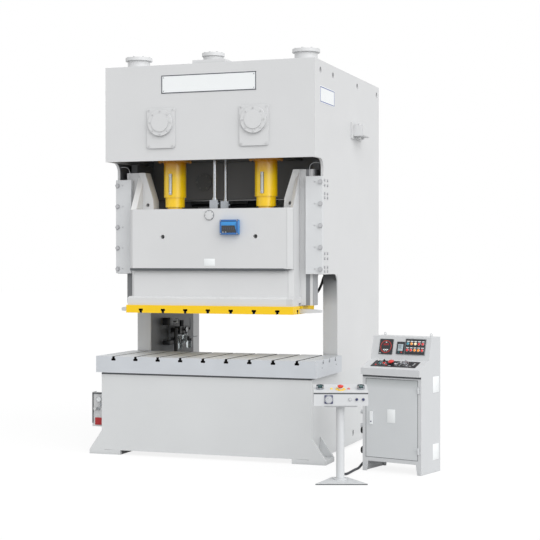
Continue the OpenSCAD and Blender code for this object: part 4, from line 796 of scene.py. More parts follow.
@dataclass
class Assembly:
    """What every sub-assembly shares: the finishes and the layout."""

    TUBE_SIDES = 5
    TUBE_STEPS = 6

    shop: FinishShop
    layout: Layout

    def dress(self, finish: Finish, *nodes: str) -> None:
        """Gives fixed nodes their finish."""
        material = self.shop.material(finish)
        for node in nodes:
            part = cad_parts[node]
            if not part.material_slots:
                part.data.materials.append(material)
            for slot in part.material_slots:
                slot.material = material

    def piece(
        self, solid: Solid, name: str, finish: Finish, place: Matrix | None = None, body: str = "press",
        replaces: Sequence[str] = (),
    ) -> bpy.types.Object:
        """Finishes a new piece, reports it and sets it on its body.

        Args:
            solid: Its shapes.
            name: Its name.
            finish: Its finish.
            place: The frame it was drawn in, or None for the press's own.
            body: The body it rides on.
            replaces: The fixed nodes it stands for.

        Returns:
            The piece.
        """
        made = solid.build(name, self.layout.press if place is None else place)
        return self.settle(made, finish, body, replaces)

    def settle(
        self, made: bpy.types.Object, finish: Finish, body: str = "press", replaces: Sequence[str] = ()
    ) -> bpy.types.Object:
        """Dresses a made object and sets it on its body, as piece() does."""
        made.data.materials.append(self.shop.material(finish))
        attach(made, body)
        if replaces:
            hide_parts(*replaces)
        LOG.info("piece %s rides on %s", made.name, body)
        return made

    def tube(
        self, points: Sequence[Vector], name: str, radius: float, finish: Finish, replaces: Sequence[str] = ()
    ) -> bpy.types.Object:
        """Lays a round line through points of the shared frame, on the press.

        Args:
            points: Its knots.
            name: Its name.
            radius: Its radius in millimetres.
            finish: Its finish.
            replaces: The fixed nodes it stands for.

        Returns:
            The line.
        """
        curve = bpy.data.curves.new(name, "CURVE")
        curve.dimensions = "3D"
        curve.bevel_depth = radius * MM
        curve.bevel_resolution = self.TUBE_SIDES
        curve.resolution_u = self.TUBE_STEPS
        curve.use_fill_caps = True
        line = curve.splines.new("BEZIER")
        line.bezier_points.add(len(points) - 1)
        for knot, point in zip(line.bezier_points, points):
            knot.co = point
            knot.handle_left_type = knot.handle_right_type = "AUTO"
        return self.settle(add_object(name, curve), finish, replaces=replaces)

    def route_of(self, knots: Sequence[Point]) -> tuple[list[Vector], float]:
        """The points of a route in the shared frame, and its length."""
        points = [self.layout.at(*p) for p in knots]
        return points, round(sum((b - a).length for a, b in zip(points, points[1:])), 3)


# --- studio ------------------------------------------------------------------------


@dataclass
class Studio:
    """Floor, lights and camera."""

    camera_at: Point = (5099.0, -12577.0, 2023.0)
    camera_turn: float = 19.2
    camera_dip: float = 0.43
    lens: float = 89.3
    sensor: float = 36.0
    sight: float = 200.0
    floor_size: float = 60.0
    floor_white: float = 0.86
    gloss_share: float = 0.6
    world_light: float = 0.77
    key_light: float = 1.9
    key_from: Point = (0.62, -0.54, 0.57)
    key_spread: float = 68.0

    def camera(self, layout: Layout) -> None:
        """Sets the camera at the viewing angle."""
        data = bpy.data.cameras.new("camera")
        data.lens = self.lens
        data.sensor_width = self.sensor
        data.clip_end = self.sight
        view = add_object("camera", data)
        view.location = layout.at(*self.camera_at)
        view.rotation_euler = (math.radians(90 - self.camera_dip), 0, math.radians(self.camera_turn))
        bpy.context.scene.camera = view

    def lights(self) -> None:
        """Sets one soft key light and an even surrounding light."""
        sun = bpy.data.lights.new("key", "SUN")
        sun.energy = self.key_light
        sun.angle = math.radians(self.key_spread)
        add_object("key", sun).rotation_euler = Vector(self.key_from).to_track_quat("Z", "Y").to_euler()
        world = bpy.data.worlds.new("surround")
        world.use_nodes = True
        graph = Graph(world.node_tree)
        back = world.node_tree.nodes["Background"].inputs
        strength = graph.math("MULTIPLY_ADD", self._seen(graph), 1.0 - self.world_light, self.world_light)
        graph.feed(back["Color"], (1, 1, 1, 1))
        graph.feed(back["Strength"], strength)
        bpy.context.scene.world = world

    def _seen(self, graph: Graph) -> Socket:
        """One for rays that show the background by sight or through glass, and a share of one for gloss."""
        path = graph.add("LightPath").outputs
        straight = graph.math("MAXIMUM", path["Is Camera Ray"], path["Is Transmission Ray"])
        return graph.math("MAXIMUM", straight, graph.math("MULTIPLY", path["Is Glossy Ray"], self.gloss_share))

    def floor(self) -> None:
        """Lays a plain pale floor that keeps a faint shadow."""
        mesh = bmesh.new()
        bmesh.ops.create_grid(mesh, x_segments=1, y_segments=1, size=self.floor_size)
        data = bpy.data.meshes.new("floor")
        mesh.to_mesh(data)
        mesh.free()
        floor = add_object("floor", data)
        material = bpy.data.materials.new("floor")
        material.use_nodes = True
        nodes = material.node_tree.nodes
        graph = Graph(material.node_tree)
        shader = nodes["Principled BSDF"]
        seen = self._seen(graph)
        colour = graph.blend(seen, (0.5, 0.5, 0.5, 1), (1, 1, 1, 1))
        for name, value in (("Roughness", 0.9), ("Specular IOR Level", 0.0), ("Base Color", colour)):
            graph.feed(shader.inputs[name], value)
        share = graph.math("MULTIPLY", seen, self.floor_white)
        white = graph.add("Emission").outputs["Emission"]
        mix = graph.add("MixShader", {0: share, 1: shader.outputs["BSDF"], 2: white})
        graph.feed(nodes["Material Output"].inputs["Surface"], mix.outputs["Shader"])
        data.materials.append(material)


# --- press ------------------------------------------------------------------------


@dataclass
class StandCord(Assembly):
    """The cord from the two-hand stand along the floor to the desk."""

    radius: float = 12.5
    route: Sequence[Point] = (
        (1640, -735, 60), (1631, -709, 58), (1624, -670, 50), (1625, -625, 36), (1634, -580, 28),
        (1643, -530, 20), (1648, -470, 14), (1650, -400, 13), (1650, -330, 13), (1650, -270, 13),
        (1650, -215, 13), (1652, -165, 13), (1655, -120, 13), (1658, -75, 17), (1662, -32, 28),
        (1670, 2, 44), (1685, 20, 60), (1706, 18, 68), (1729, 12, 70),
    )

    def build(self) -> None:
        """Lays the cord along its route, with a ribbed sleeve at each end."""
        points, length = self.route_of(self.route)
        cord = self.tube(points, "two_hand_cord", self.radius, CORD_SKIN, ["stand_cord"])
        sleeves = [self._sleeve("cord_sleeve_stand", 0, 1), self._sleeve("cord_sleeve_desk", -1, -2)]

    def _sleeve(self, name: str, end: int, inner: int) -> bpy.types.Object:
        """A tapered ribbed sleeve round one end of the cord.

        Args:
            name: The piece's name.
            end: The route's point at the gland.
            inner: The next point along the cord.

        Returns:
            The sleeve.
        """
        start, along = Vector(self.route[end]), Vector(self.route[inner])
        bore = self.radius + 0.3
        profile = [(bore, -2.0), (19.0, -2.0)]
        for rib in range(5):
            r, z = 18.6 - rib * 1.1, 2.0 + rib * 7.0
            profile += [(r, z), (r, z + 4.0), (r - 1.8, z + 5.0), (r - 1.8, z + 6.5)]
        profile.append((bore, 38.0))
        aim = (along - start).to_track_quat("Z", "Y").to_matrix().to_4x4()
        return self.piece(Solid().lathe(profile, Matrix.Translation(start) @ aim, 28), name, BLACK)


@dataclass
class GuideHose(Assembly):
    """The oil hose that hangs in a loop inside the right column's throat."""

    radius: float = 14.0
    route: Sequence[Point] = (
        (990, 986, 1850), (982, 968, 1837), (980, 946, 1812), (976, 925, 1778), (970, 898, 1745), (966, 866, 1718),
        (965, 830, 1700), (968, 790, 1690), (974, 750, 1687), (983, 712, 1693), (992, 682, 1712), (999, 662, 1745),
        (1003, 650, 1785), (1004, 645, 1830), (1004, 644, 1876),
    )

    def build(self) -> None:
        """Hangs the hose and sets a nut at each end."""
        points, length = self.route_of(self.route)
        hose = self.tube(points, "guide_hose", self.radius, HOSE)
        nuts = Solid()
        for knot, aim in ((self.route[0], turn("Y", -90)), (self.route[-1], turn("X", 180))):
            nuts.lathe(disc(20.0, 15.0, 2.0), shift(*knot) @ aim, 6)
        fittings = self.piece(nuts, "hose_nuts", ZINC)


@dataclass
class MachineFrame(Assembly):
    """The welded frame, its table, covers, plates and bolts.

    A plate is given by its middle and its size, across and up.
    """

    slots: int = 9
    table_top: float = 1024.0
    table_depth: float = 905.0
    crown_face: float = 121.0
    side_face: float = 1148.0
    plate: tuple[float, float, float, float] = (11.0, 3831.0, 1038.0, 186.0)
    side_plate: tuple[float, float, float, float] = (549.0, 3692.0, 510.0, 170.0)
    pipe_radius: float = 3.2
    pipe: Sequence[Point] = (
        (1003, 405, 2872), (1001, 405, 2915), (1003, 405, 2955), (1016, 405, 2990), (1045, 405, 3008),
        (1085, 408, 3010), (1118, 412, 3004),
    )

    def build(self) -> None:
        """Dresses the frame's nodes and adds its small pieces."""
        self.dress(PAINT_COLUMN, "column_left", "column_right")
        self.dress(PAINT, "top_caps", "encoder_box", "flywheel_guard")
        self.dress(PAINT_CROWN, "crown", "bearing_covers")
        self.dress(GUIDE_GREY, "gib_left", "gib_right")
        self.dress(PAINT_BASE, "base")
        self.dress(PAINT_INSIDE_SHADED, "gear_housing")
        self.dress(TABLE_STEEL, "bolster")
        self.dress(BRONZE, "guide_liners")
        self.dress(PAINT_BOLTS, "frame_bolts")
        self.dress(WHITE, "name_plates")
        # Dark linings in the table's slots paint the shade inside them.
        linings = slot_row(self.slots, 0.0, self.table_top, self.table_depth, 1)
        self.piece(linings, "table_slot_shade_linings", SLOT_SHADE)
        self._plates()
        for side, name in ((-1, "lube_pipe_left"), (1, "lube_pipe_right")):
            points, _ = self.route_of([(side * x, y, z) for x, y, z in self.pipe])
            self.tube(points, name, self.pipe_radius, STEEL)
        # A dark ring round the pinion cap, partly its joint and partly a painted shadow, and a dark strip below the
        # table's edge, a painted shadow.
        lines = Solid().lathe(ring(91.0, 95.0, 1.0), facing(-392.0, 1000.0, 2870.7), 72)
        lines.block((0.0, 25.8, 845.0), (2294.0, 2.2, 20.0), 0.0)
        self.piece(lines, "frame_joint_and_shadow_lines", DARK_LINE)

    def _plates(self) -> None:
        """Frames the two name plates, which carry no writing."""
        x, z, w, h = self.plate
        rim = Solid().rim((x, self.crown_face - 3.4, z), (w, 1.6, h), 9.0)
        self.piece(rim, "front_plate_rim", RIM_DARK)
        rivets = Solid()
        for sx, sz in product((-1, 1), repeat=2):
            where = facing(x + sx * (w / 2 - 24), self.crown_face - 3.0, z + sz * (h / 2 - 24))
            rivets.lathe(dome(6.0, 3.0, 0.0, 0.6), where, 16)
        self.piece(rivets, "front_plate_rivets", ZINC)
        y, z, w, h = self.side_plate
        rim = Solid().rim((self.side_face + 2.5, y, z), (1.4, w - 16, h - 16), 8.0)
        self.piece(rim, "side_plate_rim", RIM_BLUE)


@dataclass
class Ram(Assembly):
    """The slide with its yellow plate, counter and rods."""

    front: float = 150.0
    plate_front: float = 133.0
    plate_half: float = 917.0
    bottom: float = 1474.0
    slots: int = 7
    back: float = 838.0
    side_slot: Pair = (280.0, 110.0)
    counter: tuple[float, float, float, float] = (245.5, 2355.5, 201.0, 153.0)
    cover: Point = (10.0, 2480.0, 48.0)
    screw_circle: float = 46.0

    def build(self) -> None:
        """Dresses the slide and adds its pieces."""
        self.dress(PAINT_SLIDE, "slide")
        self.dress(YELLOW_PLATE, "slide_plate")
        self.dress(DULL_CHROME, "balancer_rods")
        self.dress(BAR_STEEL, "knockout_bar")
        self._slot_shade_linings()
        self._counter()
        self._cover()
        plate = Solid().block((12.0, self.front - 0.6, 1999.0), (119.0, 1.6, 73.0), 0.6)
        self.slide_piece(plate, "ram_data_plate", WHITE)

    def slide_piece(self, solid: Solid, name: str, finish: Finish, replaces: Sequence[str] = ()) -> None:
        """Makes a piece that rides on the slide."""
        self.piece(solid, name, finish, body="slide", replaces=replaces)

    def _slot_shade_linings(self) -> None:
        """Lines the slots of the yellow plate, below it and at its two ends, with dark sheets that paint the shade
        inside them.
        """
        solid = slot_row(self.slots, self.plate_front, self.bottom, self.back - self.plate_front, -1)
        at, deep = self.side_slot
        for side in (-1, 1):
            place = shift(side * (self.plate_half - 1.0), at, self.bottom) @ turn("Z", 90 * side) @ FORWARD
            solid.prism(slot_outline(), deep - 2.0, place @ Matrix.Diagonal((1, -1, -1, 1)))
        self.slide_piece(solid, "ram_slot_shade_linings", SLOT_SHADE)

    def _counter(self) -> None:
        """The blue box of the height counter, with its window, screws and knobs."""
        x, z, w, h = self.counter
        face = self.front - 60.0
        rims = Solid().rim((x, face + 8.0, z), (w, 16.0, h), 20.0, 5.0, 3)
        self.slide_piece(rims, "height_counter_rim", RIM_COUNTER)
        case = Solid().block((x, self.front - 25.0, z), (w, 50.0, h), 10.0, 3)
        hood = [(-w / 2 + 14, 16.0), (w / 2 - 34, 16.0), (w / 2 - 14, 54.44), (-w / 2 + 14, 54.44)]
        case.prism(hood, 12.0, facing(x, face + 14.0, z), 3.0)
        self.slide_piece(case, "height_counter_case", BLUE, ["height_counter"])
        sight = [(-w / 2 + 20, -56.0), (w / 2 - 22, -56.0), (w / 2 - 42, 20.0), (-w / 2 + 20, 20.0)]
        window = Solid().prism(sight, 6.0, facing(x, face + 10.0, z), 1.5)
        self.slide_piece(window, "height_counter_window", SMOKED)
        marks = Solid()
        for i in range(6):
            marks.block((x - 60 + i * 22.0, face + 3.5, z - 16.0), (13.0, 1.2, 24.0), 0.5)
        self.slide_piece(marks, "height_counter_wheels", RIM_DARK)
        screws = Solid()
        for sx, sz in product((-1, 1), repeat=2):
            where = facing(x + sx * (w / 2 - 11), face, z + sz * (h / 2 - 11))
            screws.lathe(ring(2.2, 6.5, 3.0), where, 16).lathe(disc(2.4, 1.2, 0.2), where, 6)
        for dx in (-62.0, -32.0):
            screws.lathe(disc(8.5, 7.0, 1.5), facing(x + dx, face, z - 52.0), 24)
        self.slide_piece(screws, "height_counter_screws", ZINC)

    def _cover(self) -> None:
        """The round screwed cover on the slide's front with its dark joint ring, and a dark strip below the slide's
        step, a painted shadow.
        """
        x, z, r = self.cover
        where = facing(x, self.front, z)
        self.slide_piece(Solid().lathe(disc(r, 10.0, 2.5), where, 56), "round_cover", PAINT)
        lines = Solid().lathe(ring(r + 0.6, r + 4.6, 2.0), where, 56)
        # A dark strip under the slide's step: a painted shadow.
        strip = [(-880.0, 0.0), (800.0, 0.0), (886.0, 14.0), (800.0, 26.0), (-880.0, 26.0)]
        lines.prism(strip, 40.0, facing(0, self.front + 39.5, 1912.0))
        self.slide_piece(lines, "ram_joint_and_shadow_lines", DARK_LINE)
        heads = Solid()
        for step in range(8):
            angle = math.radians(step * 45)
            across, up = self.screw_circle * math.cos(angle), self.screw_circle * math.sin(angle)
            where = facing(x + across, self.front - 10.0, z + up)
            heads.lathe(ring(2.6, 5.4, 4.6), where, 18).lathe(disc(2.8, 2.0, 0.2), where, 6)
        self.slide_piece(heads, "round_cover_screws", ZINC)


@dataclass
class Suspension(Assembly):
    """The yellow plungers in their guides, with sight gauges."""

    pitch: float = 1020.0
    back: float = 480.0
    radius: float = 118.0
    foot: float = 2679.0
    gauge: Pair = (27.0, 221.0)

    def build(self) -> None:
        """Dresses plungers and guides and makes the gauges."""
        self.dress(YELLOW, "plungers")
        self.dress(GUIDE_YELLOW_SHADED, "plunger_guide_left", "plunger_guide_right")
        self.dress(CAST, "balancer_cylinders")
        tubes, rails, fittings, bolts = Solid(), Solid(), Solid(), Solid()
        low, high = self.gauge
        middle, length = (low + high) / 2 + 13.0, high - low
        for side in (-1, 1):
            place = shift(side * self.pitch / 2, self.back - self.radius, self.foot)
            tubes.lathe(disc(8.5, length - 14.0, 1.0, low + 20.0), place @ shift(0, -12.0, 0), 20)
            for x in (-15.5, 15.5):
                rails.block((x, -6.0, middle), (2.6, 11.0, length + 20.0), 0.8, where=place)
            fittings.block((0.0, -4.5, middle), (28.0, 9.0, length + 18.0), 2.0, where=place)
            for z in (low, high):
                fittings.block((0.0, -11.0, z + 13.0), (26.0, 21.0, 25.0), 4.0, where=place)
                bolts.lathe(disc(9.0, 5.0, 1.5), place @ facing(0, -21.0, z + 13.0), 6)
        self.piece(tubes, "sight_tubes", GLASS, body="suspension", replaces=["oil_gauges"])
        self.piece(rails, "sight_rails", DARK_STEEL, body="suspension")
        self.piece(fittings, "sight_fittings", WHITE, body="suspension")
        self.piece(bolts, "sight_bolts", ZINC, body="suspension")


@dataclass
class Drive(Assembly):
    """Crankshafts, gears, flywheel, motor and belts inside the crown."""

    def build(self) -> None:
        """Dresses the drive's nodes."""
        self.dress(STEEL, "crankshaft_left", "crankshaft_right", "pinion_shaft")
        self.dress(CAST, "main_gear_left", "main_gear_right", "flywheel", "motor_pulley")
        self.dress(CAST, "connecting_rod_left", "connecting_rod_right")
        self.dress(PAINT_MOTOR, "motor")
        self.dress(RUBBER, "drive_belts")


@dataclass
class AirSupply(Assembly):
    """The air unit on the left column and the air panel beside the base."""

    unit: Point = (-902.0, 1560.0, 1230.0)

    def build(self) -> None:
        """Dresses the air parts and adds dials, knobs and labels."""
        self.dress(BLACK, "air_unit", "regulator_knob")
        self.dress(BOWL, "air_bowls")
        self.dress(DARK_STEEL, "valve_lever")
        self.dress(PAINT, "air_panel")
        x, y, z = self.unit
        self._dial("unit_gauge", shift(x + 62.0, y + 20, z) @ turn("Y", 90), 27.0)
        self._dial("panel_gauge", facing(-1258.0, 178.0, 552.0), 28.0)
        red = Solid().block((-1253.0, 195.4, 319.0), (112.0, 3.0, 78.0), 1.0)
        self.piece(red, "panel_red_plate", RED_PLATE)
        edges = Solid().block((-1336.0, 195.6, 459.0), (13.0, 3.0, 320.0), 0.5)
        edges.block((-1246.0, 195.6, 613.0), (180.0, 3.0, 13.0), 0.5)
        self.piece(edges, "panel_edges", DARK_LINE)
        knobs = Solid()
        for across, up in ((-1240.0, 496.0), (-1266.0, 452.0), (-1222.0, 446.0)):
            knobs.lathe([(0, 0), (15, 0), (15, 8), (11, 10), (11, 18), (0, 18)], facing(across, 197.0, up), 10)
        self.piece(knobs, "panel_knobs", ZINC)
        caps = Solid()
        for bowl in (1490.0, 1670.0):
            caps.lathe(ring(27.5, 31.0, 16.0, -8.0), shift(x, bowl, z - 62.0))
        self.piece(caps, "bowl_rings", ZINC)
        label = Solid().block((-906.0, 1446.0, 1326.0), (31.0, 4.0, 54.0), 1.0)
        self.piece(label, "unit_label", WHITE)
        self._drains()

    def _drains(self) -> None:
        """The valve box, the manifold and the two drain bowls under the air unit."""
        black, bowls, bright = Solid(), Solid(), Solid()
        for centre, size, edge in (
            ((-948.0, 1294.0, 1330.0), (90.0, 90.0, 84.0), 4.0),
            ((-950.0, 1376.0, 1092.0), (86.0, 255.0, 46.0), 4.0),
            ((-906.0, 1448.5, 1326.0), (36.0, 3.0, 62.0), 1.0),
            ((-948.0, 1448.0, 1326.0), (88.0, 10.0, 12.0), 2.0),
        ):
            black.block(centre, size, edge)
        for y, r in ((1588.0, 27.0), (1835.0, 32.0)):
            where = shift(-920.0, y, 1086.0)
            black.block((-950.0, y, 1118.0), (86.0, 60.0, 40.0), 4.0)
            black.lathe(disc(r + 3.0, 26.0, 2.0), where)
            bowls.lathe(dome(r, 22.0, 0.0, 70.0), where @ turn("X", 180))
            bright.lathe(disc(5.0, 74.0, 1.0), shift(-920.0, y, 1012.0), 12)
        for y in (1276.0, 1310.0):
            bright.lathe(disc(5.0, 175.0, 1.0), shift(-930.0, y, 1113.0), 12)
        bright.lathe(disc(4.5, 250.0, 1.0), shift(-930.0, 1862.0, 1122.0) @ turn("X", -90), 12)
        self.piece(black, "drain_bodies", BLACK)
        self.piece(bowls, "drain_bowls", BOWL)
        self.piece(bright, "drain_pipes", DARK_STEEL)

    def _dial(self, name: str, where: Matrix, radius: float) -> None:
        """A round pressure dial with a rim, a scale and a hand.

        Args:
            name: The piece's name.
            where: The plane of its face.
            radius: Its radius.
        """
        self.piece(Solid().lathe(disc(radius - 2.5, 1.5, 0.3, -0.4), where, 40), f"{name}_face", WHITE)
        self.piece(Solid().lathe(ring(radius - 3.0, radius + 1.0, 5.0, -1.0), where, 40), f"{name}_rim", CHROME)
        marks = Solid()
        for step in range(11):
            at = where @ turn("Z", 225 - step * 27) @ shift(radius * 0.74, 0, 1.2)
            marks.block((0, 0, 0), (radius * 0.14, 0.9, 0.4), 0.0, where=at)
        hand = where @ turn("Z", 130) @ shift(radius * 0.25, 0, 1.6)
        marks.block((0, 0, 0), (radius * 0.7, 1.4, 0.5), 0.0, where=hand)
        self.piece(marks, f"{name}_marks", BLACK)


@dataclass
class ControlDesk(Assembly):
    """The control desk with its panels, lamps, buttons and door."""

    width: float = 633.0
    lamp_at: Pair = (74.0, 98.0)
    lamp_step: Pair = (40.0, 62.0)
    panel_face: float = 3.0
    handle: Point = (-217.0, -209.0, 540.0)

    def build(self) -> None:
        """Dresses the desk and adds what its panels carry."""
        self.dress(PAINT_DESK, "desk_cabinet")
        self.dress(PAINT_DOOR, "desk_door")
        self.dress(PANEL_BLACK, "desk_panels")
        self.dress(WHITE, "door_handle")
        self.dress(RED, "desk_stop", "stop_button")
        self.dress(TEAL, "start_button")
        self.dress(BLACK, "mode_selector")
        self.dress(CHROME, "rotary_switch")
        self._lamps()
        self._cam_display()
        self._small_display()
        self._slope_fittings()
        self._plates()

    def _lamps(self) -> None:
        """Ten signal lamps in chromed rims, with blank name strips above them."""
        colours = (
            (LENS_RED, LENS_RED, LENS_ORANGE, LENS_ORANGE, LENS_RED),
            (LENS_TEAL, LENS_ORANGE, LENS_CREAM, LENS_RED, LENS_RED),
        )
        place, face = self.layout.desk_back, self.panel_face
        lenses: dict[Finish, Solid] = {}
        rims, strips = Solid(), Solid()
        for row, column in product(range(2), range(5)):
            x = self.lamp_at[0] + column * self.lamp_step[0]
            y = self.lamp_at[1] + row * self.lamp_step[1]
            rims.lathe(ring(12.4, 15.0, 5.0), shift(x, y, face))
            cap = lenses.setdefault(colours[row][column], Solid())
            cap.lathe(dome(12.2, 5.5, 0.0, 5.5), shift(x, y, face))
            strips.block((x, y + 24.0, face + 0.6), (28.0, 8.0, 1.2), 0.4)
        self.piece(rims, "lamp_rims", CHROME, place, replaces=["desk_lamps"])
        for finish, solid in lenses.items():
            self.piece(solid, f"lamps_{finish.name}", finish, place)
        self.piece(strips, "lamp_strips", WHITE, place)

    def _cam_display(self) -> None:
        """The crank angle display: a red ring round a window with red figures."""
        place = self.layout.desk_back @ shift(-160.0, 124.0, 6.0)
        self.piece(Solid().lathe(ring(55.0, 60.0, 2.2, -0.4, 0.6), steps=72), "angle_ring", RED, place)
        face = Solid().lathe(disc(54.6, 1.4, 0.4, -0.4), steps=64).block((0, 0, 0.8), (92.0, 26.0, 2.4))
        self.piece(face, "angle_face", PANEL_BLACK, place)
        figures = Solid()
        for i in range(4):
            seven_segments(figures, shift(-22.5 + i * 15.0, 22.0, 1.2), 9.0, 15.0, 2.4)
        self.piece(figures, "angle_figures", DIGITS, place)
        keys = Solid()
        for x, y, w, h in (
            (0, 43, 14, 8), (-20, -30, 16, 9), (0, -30, 16, 9), (20, -30, 16, 9), (-12, -42, 10, 6), (12, -42, 10, 6),
            (-58, -64, 18, 5),
        ):
            keys.block((x, y, 1.6), (w, h, 1.8), 0.6)
        self.piece(keys, "angle_keys", WHITE, place)

    def _small_display(self) -> None:
        """The middle display with its grey screen and keys."""
        place = self.layout.desk_back @ shift(0.0, 116.0, 8.0)
        self.piece(Solid().block((0, 4, 0.4), (54.0, 66.0, 2.0)), "text_screen", SCREEN, place)
        lines = Solid()
        for y, w in ((28, 36), (18, 44), (8, 30), (-2, 40)):
            lines.block((-(44 - w) / 2, y, 1.6), (w, 4.0, 0.8), 0.2)
        self.piece(lines, "text_lines", RIM_DARK, place)
        for name, x, finish in (("text_key_left", -16, TEAL), ("text_key_right", 16, RED)):
            self.piece(Solid().block((x, -42, 1.4), (14.0, 9.0, 3.4), 1.2), name, finish, place)
        self.piece(Solid().rim((0.0, 0.0, 0.6), (82.0, 120.0, 2.0), 5.0, 0.8), "text_frame", RIM_DARK, place)
        edge = Solid().rim((154.0, 15.0, -4.4), (222.0, 160.0, 2.0), 5.0, 0.8)
        self.piece(edge, "lamp_panel_edge", ZINC, place)

    def _slope_fittings(self) -> None:
        """Rings, caps and strips on the sloping panel."""
        place = self.layout.desk_slope @ shift(0, 0, self.panel_face)
        rings = Solid()
        for x in (-150.0, -105.0):
            rings.lathe(ring(11.5, 14.8, 8.3), shift(x, 92.0, 0))
        rings.lathe(ring(26.4, 33.0, 6.0), shift(120.0, 104.0, 0), 48)
        rings.lathe(ring(13.0, 17.0, 5.0), shift(-125.0, 138.0, 0))
        for x, y in product((20.0, 60.0), (88.0, 128.0)):
            rings.lathe(ring(12.2, 15.0, 7.0), shift(x, y, 0))
        self.piece(rings, "slope_rings", CHROME, place)
        dark, light, red = Solid(), Solid(), Solid()
        for solid, x, y in ((light, 20.0, 88.0), (dark, 60.0, 88.0), (dark, 20.0, 128.0), (light, 60.0, 128.0)):
            solid.lathe(dome(11.6, 2.5, 11.5, 1.5), shift(x, y, 0))
        for solid, x, y in ((light, -190.0, 146.0), (red, -60.0, 146.0)):
            solid.lathe(dome(9.8, 2.5, 11.5, 1.0), shift(x, y, 0), 28)
        for x, y in ((-78.0, 78.0), (-190.0, 74.0)):
            red.lathe(dome(8.0, 3.0, 0.0, 4.0), shift(x, y, 0), 28)
        self.piece(dark, "slope_caps_dark", BLACK, place)
        self.piece(light, "slope_caps_grey", PAINT_DESK, place)
        self.piece(red, "slope_caps_red", RED, place)
        strips = Solid()
        for x, y in ((205, 136), (205, 116), (205, 96), (180, 76)):
            strips.block((x, y, 0.5), (20.0, 5.0, 1.0), 0.3)
        for x, y in (
            (-150, 114), (-105, 114), (20, 108), (60, 108), (20, 148), (60, 148), (120, 146), (-35, 62), (-168, 156),
        ):
            strips.block((x, y, 0.5), (26.0, 6.0, 1.0), 0.3)
        self.piece(strips, "slope_strips", WHITE, place)

    def _plates(self) -> None:
        """Blank plates on the door and the side, the door's joint, a painted shadow under the lip, the lock and the
        plugs at the side.
        """
        place, side = self.layout.desk, self.width / 2
        door = Solid().block((-3.0, -196.2, 540.0), (86.0, 1.8, 129.0), 0.5)
        self.piece(door, "door_plate", WHITE, place, "desk_door")
        plates = Solid().block((side + 1.6, 101.0, 836.0), (2.6, 126.0, 154.0), 0.6)
        plates.block((side + 0.8, 101.0, 195.0), (1.8, 124.0, 152.0), 0.6)
        self.piece(plates, "desk_side_plates", WHITE, place)
        # A dark strip under the desk's lip is a painted shadow; the rim round the door is its joint.
        lines = Solid().block((0.0, -195.8, 914.0), (self.width - 4.0, 2.4, 18.0), 0.0)
        lines.rim((0.0, -195.3, 513.0), (562.0, 1.4, 756.0), 3.6, 0.0)
        self.piece(lines, "desk_joint_and_shadow_lines", DARK_LINE, place)
        x, y, z = self.handle
        lock = Solid().lathe(disc(6.5, 2.0, 0.6, -0.5), facing(x, y, z - 62.0), 24)
        self.piece(lock, "handle_lock", NAVY, place, "door_handle")
        plugs = Solid()
        plug = [(0, 0), (35, 0), (35, 8), (27, 10), (27, 16), (34, 18), (34, 30), (26, 34), (0, 34)]
        for z in (190.0, 382.0):
            plugs.lathe(plug, shift(-side, -150.0, z) @ turn("Y", -90))
        self.piece(plugs, "side_plugs", BLACK, place)


def seven_segments(solid: Solid, where: Matrix, width: float, height: float, bar: float) -> None:
    """Adds one figure with every bar lit.

    Args:
        solid: The shapes to add it to.
        where: Its middle.
        width: Its width.
        height: Its height.
        bar: The width of a bar.
    """
    for y in (-height / 2, 0.0, height / 2):
        solid.block((0, y, 0), (width - bar, bar * 0.8, 0.8), 0.2, where=where)
    for x, y in product((-width / 2, width / 2), (-height / 4, height / 4)):
        solid.block((x, y, 0), (bar * 0.8, height / 2 - bar, 0.8), 0.2, where=where)


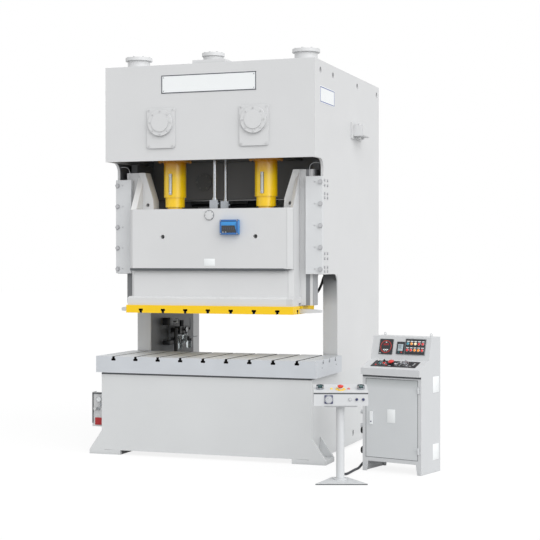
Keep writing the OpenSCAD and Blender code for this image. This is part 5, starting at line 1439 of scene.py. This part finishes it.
@dataclass
class TwoHandStand(Assembly):
    """The two-hand stand with its palm buttons, stop and switches."""

    width: float = 494.0
    height: float = 121.0
    palm: Pair = (187.0, 110.0)
    small: Sequence[float] = (83.0, 143.0, 203.0)
    small_height: float = 58.0
    cam: float = -111.0

    def build(self) -> None:
        """Dresses the stand and adds its fittings."""
        self.dress(PAINT_STAND, "stand")
        self.dress(PALM_TEAL, "palm_button_left", "palm_button_right")
        self.dress(RED, "stand_stop")
        self.dress(CHROME, "cam_switch")
        self.dress(NAVY, "run_button", "inch_button")
        self._guards()
        self._lid()
        self._front()

    def _guards(self) -> None:
        """Bright collars round the palm buttons, open to the front above their floor."""
        solid = Solid()
        for side in (-1, 1):
            where = shift(side * self.palm[0], self.palm[1], 0)
            solid.lathe(ring(30.7, 35.5, 14.2, 0.0, 0.6), where, 48)
            solid.lathe(ring(30.7, 35.5, 20.6, 14.0), where, 44, -53.0, 286.0)
            solid.lathe(ring(12.6, 30.8, 4.6, 0.0, 0.2), where, 40)
        self.piece(solid, "palm_guards", DULL_CHROME, self.layout.stand_lid)

    def _lid(self) -> None:
        """The stop's yellow disc, the two lamps, the dark joint under the lid and the floor plate's edge."""
        y = self.palm[1]
        place = self.layout.stand_lid
        shade = Solid().lathe(ring(20.4, 45.6, 5.8, 0.0, 1.5), shift(0, y - 15.0, 0), 56)
        self.piece(shade, "stop_disc", YELLOW, place)
        for name, x, finish in (("stand_lamp_left", -81.0, LENS_YELLOW), ("stand_lamp_right", 76.0, LENS_RED)):
            self.piece(Solid().lathe(dome(12.4, 4.0, 0.0, 6.5), shift(x, y - 5.0, 0)), name, finish, place)
        joint = Solid().block((0, self.height - 9.0, 0.4), (self.width + 1.6, 12.0, 1.6), 0.4)
        self.piece(joint, "stand_joint", DARK_LINE, self.layout.stand_face)
        sole = Solid().block((0.0, -235.2, 4.6), (468.0, 1.2, 9.0), 0.0)
        self.piece(sole, "stand_sole_edge", DARK_LINE, self.layout.stand)

    def _front(self) -> None:
        """The cam switch's plate, the rims of the small buttons, their caps and the key switch."""
        place, z = self.layout.stand_face, self.small_height
        plate = Solid().block((self.cam, z, 3.2), (77.0, 77.0, 6.8), 2.0)
        self.piece(plate, "cam_plate", NAVY, place)
        self.piece(Solid().lathe(ring(30.4, 37.0, 2.4, 6.2), shift(self.cam, z, 0), 48), "cam_dial", DULL_CHROME, place)
        rims = Solid()
        for x in self.small:
            rims.lathe(ring(11.5, 15.6, 6.0, 0.0, 1.2), shift(x, z, 0), 36)
        self.piece(rims, "front_rims", CHROME, place)
        lock = Solid().lathe(dome(11.0, 2.5, -4.0, 12.0), shift(self.small[0], z, 0))
        self.piece(lock, "key_switch", PAINT_DESK, place)
        for button, x in zip(("run_button", "inch_button"), self.small[1:]):
            self.piece(Solid().lathe(dome(9.0, 2.0, 13.6, 0.6), shift(x, z, 0)), f"{button}_cap", NAVY, place, button)


def main() -> None:
    """Builds the studio and every sub-assembly in order."""
    logging.basicConfig(level=logging.INFO, format="%(name)s: %(message)s")
    bpy.context.scene.view_settings.view_transform = "Standard"
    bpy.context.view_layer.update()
    layout = Layout()
    studio = Studio()
    studio.camera(layout)
    shop = FinishShop(layout.press)
    for kind in (
        StandCord, GuideHose, MachineFrame, Ram, Suspension, Drive, AirSupply, ControlDesk, TwoHandStand,
    ):
        LOG.info("building %s", kind.__name__)
        kind(shop, layout).build()
    studio.lights()
    studio.floor()
    bpy.context.view_layer.update()


if __name__ == "__main__":
    main()
